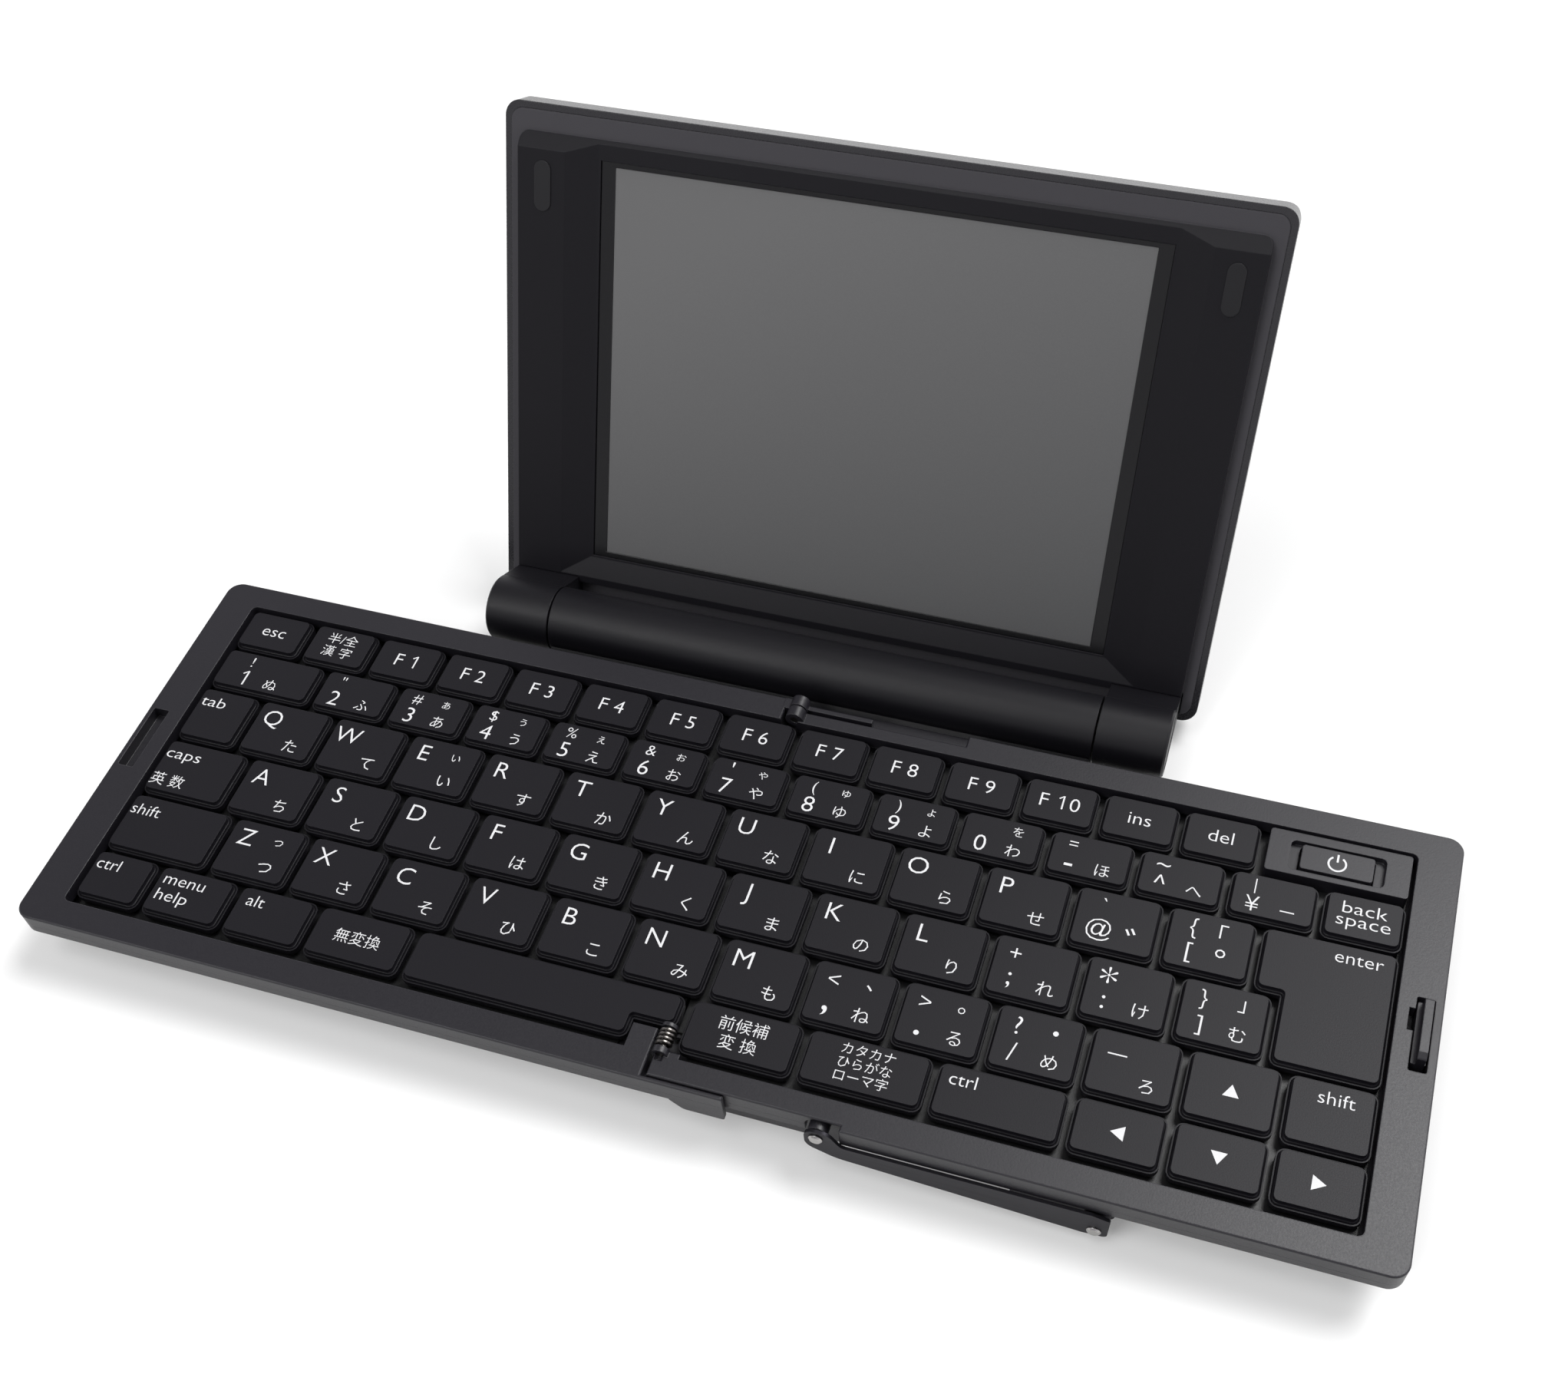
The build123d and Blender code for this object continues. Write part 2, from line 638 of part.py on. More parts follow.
slot_rear = 16.0
slot_front = -36.0
slot_width = 3.0
shoe_length = 12.0
arm_length = sqrt((arm_foot_x - arm_pivot_x) ** 2 + (arm_foot_z - arm_pivot_z) ** 2)
drop_closed = arm_foot_z - (2 * fold_axis_height - arm_pivot_z)
slide_travel = arm_foot_x - sqrt(arm_length ** 2 - drop_closed ** 2) + arm_pivot_x
shoe_first = -66.0
shoe_second = -18.0
slot_left = shoe_first - 0.6
slot_right = shoe_second + shoe_length + slide_travel + 0.6
deck = slab(-base_half_width, base_half_width, base_front, base_back, seam_height, base_deck,
            base_corner)
for y in (slot_front, slot_rear):
    deck = deck - slab(slot_left, slot_right, y - slot_width / 2, y + slot_width / 2, 0, 20,
                       slot_width / 2 - 0.01)
keep("base_top_deck", deck)

rail_pieces = []
for y in (slot_front, slot_rear):
    for side in (-1, 1):
        inner = y + side * (slot_width / 2 + 0.4)
        outer = y + side * (slot_width / 2 + 3.2)
        rail_pieces.append(box(slot_left, slot_right, min(inner, outer), max(inner, outer),
                               seam_height - 0.5, seam_height))
keep("slide_guide_rails", *rail_pieces)


def shoe(x, y):
    pad = slab(x, x + shoe_length, y - 3, y + 3, base_deck + running_gap, half_bottom, 1.0)
    neck = box(x + 1, x + shoe_length - 1, y - 1.2, y + 1.2, seam_height - 1.9, half_bottom)
    foot = box(x, x + shoe_length, y - 3, y + 3, seam_height - 1.9, seam_height - 0.5 - running_gap)
    return pad + neck + foot


keep("slide_shoes", *[shoe(x, y) for x in (shoe_first, shoe_second) for y in (slot_front, slot_rear)])

foot_height = 1.0
keep("rubber_feet", *[rod_z(4.5, 0, foot_height, x, y) for x, y in foot_places])
keep("base_screws", *[rod_z(1.5, base_floor + 0.5, base_floor + 5.5, x, y) for x,
                      y in base_screw_places])

board_bottom = base_floor + 2.2
board_top = board_bottom + 1.0
keep("main_circuit_board", slab(-base_half_width + 3.2, 62, -40, 12, board_bottom, board_top, 1.5))
processor = box(-8, 4, -20, -8, board_top, board_top + 1.2)
memory = box(14, 24, -18, -6, board_top, board_top + 1.0)
flash = box(-34, -22, -16, -6, board_top, board_top + 1.0)
coin_cell = rod_z(6.0, board_top, board_top + 1.4, 42, -18)
connector = box(-6, 20, 4, 8, board_top, board_top + 1.5)
keep("circuit_components", processor, memory, flash, coin_cell, connector)
usb_shell = box(-base_half_width + 0.6, -base_half_width + 8.6, usb_y - usb_width / 2 + 0.3,
                usb_y + usb_width / 2 - 0.3, board_top, usb_top)
usb_shell = usb_shell - box(-base_half_width, -base_half_width + 7.6, usb_y - 3.1, usb_y + 3.1,
                            board_top + 0.4, usb_top - 0.4)
keep("usb_socket", usb_shell + box(-base_half_width + 2.2, -base_half_width + 8, usb_y - 2.2,
                                   usb_y + 2.2, usb_top - 1.8, usb_top - 1.2))
card_cage = box(-base_half_width + 0.6, -base_half_width + 15, card_y - card_width / 2 + 0.3,
                card_y + card_width / 2 - 0.3, board_top, 5.8)
keep("memory_card_socket", card_cage - box(-base_half_width, -base_half_width + 14, card_y - 5.4,
                                           card_y + 5.4, board_top + 0.3, 5.4))

# bracket at the front right corner of the base that carries the foot of the slide arm
bracket_plate = elevation([(62, 2.2, 1.0), (arm_foot_x + 2.8, 2.2, 2.2), (arm_foot_x + 2.8, 7.2, 2.2),
                           (62, 7.2, 1.0)],
                          base_front - 1.5, base_front)
bracket_boss = rod_y(2.2, keyboard_front, base_front - 1.4, arm_foot_x, arm_foot_z)
keep("arm_bracket", bracket_plate + bracket_boss)

# --- hinge barrel with the battery bay -----------------------------------------------------------
bay_radius = 5.7
bay_half = 47.0
end_wall = 2.0
barrel = rod_x(barrel_radius, -barrel_half_length, barrel_half_length, barrel_y, barrel_z)
web_corners = [(base_back, base_floor + 0.6), (base_back + 4.2, base_floor + 0.6, 2.0),
               (barrel_y + 1.5, barrel_z - 5.2), (barrel_y, barrel_z), (barrel_y - 5.6, barrel_z - 0.4),
               (base_back, base_deck - 0.2)]
web = section(web_corners, -barrel_half_length + 0.2, barrel_half_length - 0.2)
barrel = barrel + web
barrel = barrel - rod_x(bay_radius, -bay_half, bay_half, barrel_y, barrel_z)
for side in (-1, 1):
    inner = min(side * (bay_half + 1.2), side * (barrel_half_length - end_wall))
    outer = max(side * (bay_half + 1.2), side * (barrel_half_length - end_wall))
    barrel = barrel - rod_x(bay_radius, inner, outer, barrel_y, barrel_z)
barrel = barrel - rod_x(hinge_pin_radius + bearing_gap, -barrel_half_length - 1,
                        -barrel_half_length + end_wall + 1, barrel_y, barrel_z)
barrel = barrel - rod_x(hinge_pin_radius + bearing_gap, barrel_half_length - end_wall - 1,
                        barrel_half_length + 1, barrel_y, barrel_z)


def sector(x0, x1, outer, start, end):
    # wedge of a tube round the barrel axis; angles are from straight back, positive upwards
    reach = outer * 1.6
    middle = (start + end) / 2
    corners = [(barrel_y, barrel_z)]
    for angle in (start, middle, end):
        corners.append((barrel_y + reach * cos(radians(angle)), barrel_z + reach * sin(radians(angle))))
    return section(corners, x0, x1)


cover_start = -75
cover_end = 25
cover_gap = 0.15
cover_half = 46.0
cover_ring = rod_x(barrel_radius, -cover_half, cover_half, barrel_y, barrel_z) - rod_x(bay_radius, -60,
                                                                                       60, barrel_y, barrel_z)
barrel = barrel - sector(-cover_half - cover_gap, cover_half + cover_gap, barrel_radius,
                         cover_start - 1.5, cover_end + 1.5)
keep("hinge_barrel", barrel)
keep("battery_cover", cover_ring & sector(-cover_half, cover_half, barrel_radius, cover_start,
                                          cover_end))

cell_radius = 5.25
cell_length = 43.6
nub_length = 0.9


def cell(x0):
    body = rod_x(cell_radius, x0, x0 + cell_length, barrel_y, barrel_z)
    return body + rod_x(1.9, x0 + cell_length, x0 + cell_length + nub_length, barrel_y, barrel_z)


keep("battery_left", cell(-cell_length - nub_length))
keep("battery_right", cell(0))
nub_end = cell_length + nub_length
contact_left = rod_x(4.6, -bay_half, -bay_half + 0.4, barrel_y, barrel_z)
contact_left = contact_left + rod_x(2.4, -bay_half, -nub_end, barrel_y, barrel_z)
contact_right = rod_x(4.6, bay_half - 0.4, bay_half, barrel_y, barrel_z)
contact_right = contact_right + rod_x(2.4, nub_end, bay_half, barrel_y, barrel_z)
keep("battery_contacts", contact_left, contact_right)

# --- lid, built in its own frame: x to the right, y up the lid from the hinge axis, z out of it --
lid_plane = Plane(origin=(0, barrel_y, barrel_z), x_dir=(1, 0, 0), z_dir=(0, -sin(radians(lid_lean)),
                                                                          cos(radians(lid_lean))))


def on_lid(name, *pieces):
    keep(name, *[lid_plane.location * piece for piece in pieces])


def lid_hull(inset, front):
    wide = lid_half_width - inset
    low = lid_foot + inset
    high = lid_top - inset
    edge = lid_edge_depth + inset
    crown = lid_crown + inset
    middle = (low + high) / 2
    round_off = corner_radius - inset / 2
    footprint = plan([(-wide, low, round_off), (wide, low, round_off), (wide, high, round_off),
                      (-wide, high, round_off)],
                     crown - 1, front)
    reach = 0.8
    proud = front + 3
    bend = 4.5 - inset
    side = section([(low - reach, proud), (low - reach, edge, bend), (middle, crown, 1000),
                    (high + reach, edge, bend),
                    (high + reach, proud)], -80, 80)
    across = elevation([(-wide - reach, proud), (-wide - reach, edge, bend), (0, crown, 1500),
                        (wide + reach, edge, bend),
                        (wide + reach, proud)], -20, 120)
    return footprint & side & across


rim_level = lid_flange - 0.2
back_shell = lid_hull(0, rim_level) - lid_hull(lid_wall, rim_level + 1)
on_lid("lid_back_shell", back_shell)

plate_bottom = lid_flange - 1.3
wide = lid_half_width - lid_wall
inner_corner = corner_radius - lid_wall / 2
bezel = plan([(-wide, lid_foot + lid_wall, inner_corner), (wide, lid_foot + lid_wall, inner_corner),
              (wide, lid_top - lid_wall, inner_corner), (-wide, lid_top - lid_wall,
                                                         inner_corner)], plate_bottom, lid_flange)
panel_edge = 70.0
panel_top = 92.6
panel_slope_start = 89.8
slot_top = 4.6
panel_foot = 5.7
raised = plan([(-panel_edge, panel_foot), (-59.3, panel_foot), (-59.3, slot_top),
               (56.0 + 3.3, slot_top), (59.3, panel_foot), (panel_edge, panel_foot),
               (panel_edge, panel_top, 1.8), (-panel_edge, panel_top,
                                              1.8)], plate_bottom, lid_side_panel)
head_cut = section([(panel_slope_start, lid_side_panel), (panel_top + 3,
                                                          lid_side_panel - (panel_top + 3
                                                                            - panel_slope_start) * 0.6),
                    (panel_top + 3, 0), (panel_slope_start, 0)], -80, 80)
recess_low = outline([(-54.2, 10.2), (54.2, 10.2), (54.2, 110), (-54.2, 110)])
recess_high = outline([(-66.8, 1.8), (66.8, 1.8), (66.8, 110), (-66.8, 110)])
centre_cut = loft([Pos(0, 0, lid_centre) * recess_low,
                   Pos(0, 0, 2 * lid_side_panel - lid_centre) * recess_high])
bezel = bezel + (raised - head_cut - centre_cut)
window_opening = box(-glass_half_width, glass_half_width, glass_bottom, glass_top, -30, 0)
bezel = bezel - window_opening
knuckle_inner = barrel_half_length + barrel_gap
for side in (-1, 1):
    low = min(side * knuckle_inner, side * (barrel_end + 0.2))
    high = max(side * knuckle_inner, side * (barrel_end + 0.2))
    bezel = bezel - box(low, high, -5, panel_foot, plate_bottom - 1, 0)
on_lid("lid_front_bezel", bezel)

knuckle_profile = [(-3.2, -5.2), (lid_foot, rim_level), (panel_foot - 0.1, rim_level),
                   (panel_foot - 0.1, lid_side_panel),
                   (6.1, -2.6), (0, 0)]


def knuckle():
    body = rod_x(barrel_radius, knuckle_inner, barrel_end, 0, 0)
    body = chamfer(body.edges().sort_by(Axis.X)[-1], 0.4)
    body = body + section(knuckle_profile, knuckle_inner, barrel_end)
    body = body - rod_x(hinge_pin_radius, knuckle_inner - 1, 66, 0, 0)
    return body - rod_x(5.4, barrel_end - 0.8, barrel_end + 1, 0, 0)


cap = rod_x(5.4, barrel_end - 0.8, barrel_end - 0.1, 0, 0)
pin = rod_x(hinge_pin_radius, barrel_half_length - end_wall - 0.5, 66, 0, 0)
on_lid("lid_hinge_knuckles", knuckle(), mirrored(knuckle()))
on_lid("knuckle_end_caps", cap, mirrored(cap))
on_lid("lid_hinge_pins", pin, mirrored(pin))

panel_back = screen_face - 0.8
on_lid("display_window", box(-glass_half_width, glass_half_width, glass_bottom, glass_top, panel_back,
                             screen_face))
on_lid("display_panel", box(-screen_half_width - 1.6, screen_half_width + 1.6, screen_bottom - 0.8,
                            screen_top + 0.6,
                            panel_back - 2.2, panel_back))
on_lid("display_backing_frame", slab(-56, 56, 8, 92, panel_back - 3.0, panel_back - 2.2, 2.0))
on_lid("display_driver_board", box(-30, 30, 20, 60, panel_back - 4.2, panel_back - 3.0))
buffer_x = 64.9
buffer_y = 83.2
pad = slab(buffer_x - 1.65, buffer_x + 1.65, buffer_y - 4.6, buffer_y + 4.6, lid_side_panel,
           lid_side_panel + 0.2, 1.64)
on_lid("lid_rubber_buffers", pad, mirrored(pad))

# --- move everything to the middle of its box and write the pieces -------------------------------
boxes = [shape.bounding_box() for shape in nodes.values()]
low_y = min(b.min.Y for b in boxes)
high_y = max(b.max.Y for b in boxes)
shift = Vector(0, -(low_y + high_y) / 2, 0)
os.makedirs("parts", exist_ok=True)
for name, shape in nodes.items():
    export_step(shape.moved(Location(shift)), "parts/" + name + ".step")

fold_ratio_slide = slide_travel / 1000 / pi
open_angle = atan2(arm_foot_z - arm_pivot_z, arm_foot_x - arm_pivot_x)
closed_angle = atan2(drop_closed, sqrt(arm_length ** 2 - drop_closed ** 2))
print("shift", shift.Y, "depth", high_y - low_y, "height", max(b.max.Z for b in boxes))
print("slide travel", slide_travel, "metres per radian of fold", fold_ratio_slide)
print("arm turn", 180 + degrees(open_angle - closed_angle))
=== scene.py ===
import json
from math import cos, pi, radians, sin

import bmesh
import bpy
from mathutils import Matrix, Vector

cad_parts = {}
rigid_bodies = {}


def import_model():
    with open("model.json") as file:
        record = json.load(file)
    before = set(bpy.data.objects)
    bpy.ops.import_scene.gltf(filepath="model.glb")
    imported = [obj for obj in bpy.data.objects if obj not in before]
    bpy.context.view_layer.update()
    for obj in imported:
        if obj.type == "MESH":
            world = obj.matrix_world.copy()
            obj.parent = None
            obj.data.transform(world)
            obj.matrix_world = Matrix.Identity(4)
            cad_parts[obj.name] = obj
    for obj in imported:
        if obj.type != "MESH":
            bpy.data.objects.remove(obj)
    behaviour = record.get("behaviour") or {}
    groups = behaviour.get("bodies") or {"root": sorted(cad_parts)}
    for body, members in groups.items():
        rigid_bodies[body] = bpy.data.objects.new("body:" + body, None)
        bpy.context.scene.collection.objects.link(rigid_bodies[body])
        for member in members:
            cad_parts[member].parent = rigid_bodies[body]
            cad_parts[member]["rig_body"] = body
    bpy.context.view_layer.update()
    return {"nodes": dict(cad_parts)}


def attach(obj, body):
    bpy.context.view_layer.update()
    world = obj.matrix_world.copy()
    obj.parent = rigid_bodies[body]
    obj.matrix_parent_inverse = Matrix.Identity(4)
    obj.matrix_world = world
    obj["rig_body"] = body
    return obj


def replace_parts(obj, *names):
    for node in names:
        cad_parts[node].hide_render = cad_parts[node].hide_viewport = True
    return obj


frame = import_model()
scene = bpy.context.scene
mm = 0.001
foldBack = 18.945  # how far the middle of the set lies behind the fold's own origin, mm


def shaders(nodes, *kinds):
    return [nodes.new("ShaderNode" + kind) for kind in kinds]


def geometryNodes(nodes, *kinds):
    return [nodes.new("GeometryNode" + kind) for kind in kinds]


def setInputs(node, values):
    for name, value in values.items():
        node.inputs[name].default_value = value


def join(links, *pairs):
    for source, target in pairs:
        links.new(source, target)


def newMaterial(name):
    made = bpy.data.materials.new(name)
    made.use_nodes = True
    made.node_tree.nodes.clear()
    return made, made.node_tree.nodes, made.node_tree.links


def noise(nodes, links, place, scale, detail=2.0):
    made = nodes.new("ShaderNodeTexNoise")
    setInputs(made, {"Scale": scale, "Detail": detail})
    if place:
        links.new(place, made.inputs["Vector"])
    return made.outputs["Fac"]


def blendTones(nodes, links, factor, first, second):
    # two colours mixed by a factor; each is a tone or the output of another node
    mix = nodes.new("ShaderNodeMix")
    mix.data_type = "RGBA"
    links.new(factor, mix.inputs["Factor"])
    for side, tone in (("A", first), ("B", second)):
        if isinstance(tone, bpy.types.NodeSocket):
            links.new(tone, mix.inputs[side])
        else:
            mix.inputs[side].default_value = (*tone, 1)
    return mix.outputs["Result"]


def directRay(nodes, links):
    # 1 where the camera, a reflection or a see-through pane looks at the surface
    path = nodes.new("ShaderNodeLightPath")
    seen = path.outputs["Is Camera Ray"]
    for name in ("Is Glossy Ray", "Is Transmission Ray"):
        both = nodes.new("ShaderNodeMath")
        both.operation = "MAXIMUM"
        join(links, (seen, both.inputs[0]), (path.outputs[name], both.inputs[1]))
        seen = both.outputs[0]
    return seen


# the camera, in metres and degrees
viewSettings = {
    "place": (0.08172, -0.19560, 0.28320),
    "turn": (35.5473, 2.9571, 17.3680),
    "lens": 40.956,
    "shift": (-0.02165, 0.07513),
    "nearest": 0.01,
}
camera = bpy.data.objects.new("camera", bpy.data.cameras.new("camera"))
camera.location = viewSettings["place"]
camera.rotation_euler = [radians(a) for a in viewSettings["turn"]]
camera.data.sensor_fit = "HORIZONTAL"
camera.data.lens = viewSettings["lens"]
camera.data.shift_x, camera.data.shift_y = viewSettings["shift"]
camera.data.clip_start = viewSettings["nearest"]
scene.collection.objects.link(camera)
scene.camera = camera
scene.view_settings.view_transform = "Standard"

# the room: a soft sky that dims overhead, three light panels and a pale floor
lightSettings = {
    "ambient": 0.34,
    "skyTone": (0.965, 0.95, 1.0, 1),
    "ceiling": 0.14,  # how bright the room is overhead, where the horizon is 1
    "dimming": (0.30, 0.70),  # where on the way up it starts and ends to dim
    "window": (0.60, 0.74, 0.30),  # the side of the room that reflections show brightest
    "windowShare": (0.62, 1.5),
    "panels": [  # name, place, size, strength in watts
        ("highRight", (0.96, 0.95, 2.30), (1.25, 1.25), 64.0),
        ("frontLeft", (-1.2, -1.7, 2.2), (1.4, 1.0), 30.0),
        ("overhead", (-0.38, -0.55, 2.3), (0.9, 0.9), 11.0),
    ],
    "floorReach": 4,
    "floorMottle": 6.0,
    "floorRoughness": 0.9,
    "floorShine": 0.1,
    "floorTones": ((0.90, 0.90, 0.90), (0.92, 0.92, 0.92)),
    "floorLift": 0.21,  # how much of the floor's white is its own where it is looked at
}
world = bpy.data.worlds.new("studio")
scene.world = world
world.use_nodes = True
worldNodes, worldLinks = world.node_tree.nodes, world.node_tree.links
worldNodes.clear()
roomLight, whiteSky, skyMix, worldOut = shaders(worldNodes, "Background", "Background", "MixShader",
                                                "OutputWorld")
skyPlace, skyParts, skyFade = shaders(worldNodes, "TexCoord", "SeparateXYZ", "MapRange")
skySide, skyTurn, skyShare = shaders(worldNodes, "VectorMath", "MapRange", "Math")
skySide.operation, skyShare.operation = "DOT_PRODUCT", "MULTIPLY"
skySide.inputs[1].default_value = lightSettings["window"]
dimStart, dimEnd = lightSettings["dimming"]
awaySide, windowSide = lightSettings["windowShare"]
setInputs(roomLight, {"Strength": lightSettings["ambient"]})
setInputs(whiteSky, {"Color": lightSettings["skyTone"]})
setInputs(skyFade, {"From Min": dimStart, "From Max": dimEnd, "To Min": 1.0,
                    "To Max": lightSettings["ceiling"]})
setInputs(skyTurn, {"From Min": -1.0, "To Min": awaySide, "To Max": windowSide})
join(worldLinks,
     (skyPlace.outputs["Generated"], skyParts.inputs[0]), (skyParts.outputs["Z"], skyFade.inputs["Value"]),
     (skyPlace.outputs["Generated"], skySide.inputs[0]), (skySide.outputs["Value"], skyTurn.inputs["Value"]),
     (skyFade.outputs["Result"], skyShare.inputs[0]), (skyTurn.outputs["Result"], skyShare.inputs[1]),
     (skyShare.outputs[0], whiteSky.inputs["Strength"]),
     (directRay(worldNodes, worldLinks), skyMix.inputs[0]),
     (roomLight.outputs[0], skyMix.inputs[1]), (whiteSky.outputs[0], skyMix.inputs[2]),
     (skyMix.outputs[0], worldOut.inputs["Surface"]))

for name, place, size, watts in lightSettings["panels"]:
    lamp = bpy.data.lights.new(name, "AREA")
    lamp.shape = "RECTANGLE"
    lamp.size, lamp.size_y = size
    lamp.energy = watts
    lampObject = bpy.data.objects.new(name, lamp)
    lampObject.location = place
    lampObject.rotation_euler = (-Vector(place)).to_track_quat("-Z", "Y").to_euler()
    scene.collection.objects.link(lampObject)

floorMesh = bpy.data.meshes.new("floor")
reach = lightSettings["floorReach"]
floorMesh.from_pydata([(-reach, -reach, 0), (reach, -reach, 0), (reach, reach, 0), (-reach, reach, 0)], [],
                      [(0, 1, 2, 3)])
floor = bpy.data.objects.new("floor", floorMesh)
scene.collection.objects.link(floor)
floorMaterial, floorNodes, floorLinks = newMaterial("paleFloor")
paper, lift, liftShare, liftMix, floorOut = shaders(floorNodes, "BsdfPrincipled", "Emission", "Math",
                                                    "MixShader", "OutputMaterial")
setInputs(paper, {"Roughness": lightSettings["floorRoughness"],
                  "Specular IOR Level": lightSettings["floorShine"]})
liftShare.operation = "MULTIPLY"
liftShare.inputs[1].default_value = lightSettings["floorLift"]
specks = noise(floorNodes, floorLinks, None, lightSettings["floorMottle"])
mottle = blendTones(floorNodes, floorLinks, specks, *lightSettings["floorTones"])
join(floorLinks,
     (mottle, paper.inputs["Base Color"]), (directRay(floorNodes, floorLinks), liftShare.inputs[0]),
     (liftShare.outputs[0], liftMix.inputs[0]), (paper.outputs[0], liftMix.inputs[1]),
     (lift.outputs[0], liftMix.inputs[2]), (liftMix.outputs[0], floorOut.inputs["Surface"]))
floorMesh.materials.append(floorMaterial)
print("camera, floor and light are set")


plasticSettings = {
    "toneScale": 38.0,  # a slow change of tone across a moulding
    "toneDetail": 4.0,
    "grainScale": 1000,
    "grainStrength": 0.6,
    "sheenSpread": 0.07,
    "paintedEdgeLight": (0.995, 0.75),  # how alike the rounded and the flat normals are where the painted edge highlight starts and ends
    "edgeHighlightGain": 2.0,
    "edgeHighlightLift": 0.02,
    "coatAndSheenFade": 0.25,  # mm over which a lighter coat with painted sheen sets in
}
metalSettings = {
    "across": 22,  # how many times finer the rolling lines are across than along
    "lineDetail": 5.0,
    "lineTone": 0.8,
    "lineStrength": 0.4,
    "sheenSpread": 0.08,
}
bevelSamples = 4


def spreadRoughness(nodes, links, factor, body, middle, spread):
    sheen = nodes.new("ShaderNodeMapRange")
    setInputs(sheen, {"To Min": middle - spread, "To Max": middle + spread})
    join(links, (factor, sheen.inputs["Value"]), (sheen.outputs["Result"], body.inputs["Roughness"]))


def grainedEdges(nodes, links, grain, body, strength, depth, edge):
    # rounds the edges in the shading and presses a grain into it; gives the rounded normal
    soft, grains = shaders(nodes, "Bevel", "Bump")
    soft.samples = bevelSamples
    setInputs(soft, {"Radius": edge * mm})
    setInputs(grains, {"Strength": strength, "Distance": depth * mm})
    join(links, (grain, grains.inputs["Height"]), (soft.outputs[0], grains.inputs["Normal"]),
         (grains.outputs[0], body.inputs["Normal"]))
    return soft.outputs[0]


def coatAndSheenBelow(nodes, links, place, colour, wayUp, level, tone):
    # a lighter tone where the surface lies under a slanted level: a satin coat, made lighter still by painted
    # sheen
    height, below = shaders(nodes, "VectorMath", "MapRange")
    height.operation = "DOT_PRODUCT"
    height.inputs[1].default_value = wayUp
    setInputs(below, {"From Min": level + plasticSettings["coatAndSheenFade"] * mm, "From Max": level})
    join(links, (place, height.inputs[0]), (height.outputs["Value"], below.inputs["Value"]))
    return blendTones(nodes, links, below.outputs[0], colour, tone)


def mouldedPlastic(name, tone, shade, roughness=0.45, grain=0.35, depth=0.02, edge=0.25, shine=0.5,
                   edgeHighlight=0.35, coatAndSheen=None):
    made, nodes, links = newMaterial(name)
    body, out, where = shaders(nodes, "BsdfPrincipled", "OutputMaterial", "TexCoord")
    place = where.outputs["Object"]
    setInputs(body, {"Specular IOR Level": shine})
    links.new(body.outputs[0], out.inputs["Surface"])
    broad = noise(nodes, links, place, plasticSettings["toneScale"], plasticSettings["toneDetail"])
    colour = blendTones(nodes, links, broad, tone, shade)
    if coatAndSheen:
        colour = coatAndSheenBelow(nodes, links, place, colour, *coatAndSheen)
    fine = noise(nodes, links, place, plasticSettings["grainScale"] / grain)
    spreadRoughness(nodes, links, fine, body, roughness, plasticSettings["sheenSpread"])
    soft = grainedEdges(nodes, links, fine, body, plasticSettings["grainStrength"], depth, edge)
    # painted highlight: a lighter tone is mixed in along the edges, where the rounded normal turns away from
    # the flat one
    face, likeness, edgeHighlightMask = shaders(nodes, "NewGeometry", "VectorMath", "MapRange")
    likeness.operation = "DOT_PRODUCT"
    highlightStart, highlightEnd = plasticSettings["paintedEdgeLight"]
    setInputs(edgeHighlightMask, {"From Min": highlightStart, "From Max": highlightEnd, "To Max": edgeHighlight})  # painted highlight: the edges are painted lighter, for the light they catch
    join(links, (soft, likeness.inputs[0]), (face.outputs["True Normal"], likeness.inputs[1]),
         (likeness.outputs["Value"], edgeHighlightMask.inputs["Value"]))
    edgeHighlightTone = [min(1, plasticSettings["edgeHighlightGain"] * c + plasticSettings["edgeHighlightLift"]) for c in tone]
    paintedEdgeLight = blendTones(nodes, links, edgeHighlightMask.outputs["Result"], colour, edgeHighlightTone)
    links.new(paintedEdgeLight, body.inputs["Base Color"])
    return made


def sheetMetal(name, tone, roughness=0.3, streak=60.0, depth=0.01, edge=0.1):
    made, nodes, links = newMaterial(name)
    body, out, where, stretch = shaders(nodes, "BsdfPrincipled", "OutputMaterial", "TexCoord", "Mapping")
    setInputs(body, {"Metallic": 1.0})
    finer = streak * metalSettings["across"]
    setInputs(stretch, {"Scale": (streak, finer, finer)})
    join(links, (body.outputs[0], out.inputs["Surface"]),
         (where.outputs["Object"], stretch.inputs["Vector"]))
    lines = noise(nodes, links, stretch.outputs[0], 1.0, metalSettings["lineDetail"])
    colour = blendTones(nodes, links, lines, [metalSettings["lineTone"] * c for c in tone], tone)
    links.new(colour, body.inputs["Base Color"])
    spreadRoughness(nodes, links, lines, body, roughness, metalSettings["sheenSpread"])
    grainedEdges(nodes, links, lines, body, metalSettings["lineStrength"], depth, edge)
    return made


# the open lid: a point on its hinge, its lean and how far its outer flange lies behind the hinge, mm
lidSettings = {"hinge": (0, 19.995, 10.83), "lean": 64.61, "flange": -11.55}
lean = radians(lidSettings["lean"])
lidUp, lidOut = Vector((0, cos(lean), sin(lean))), Vector((0, -sin(lean), cos(lean)))
flangeLevel = (lidOut.dot(Vector(lidSettings["hinge"])) + lidSettings["flange"]) * mm

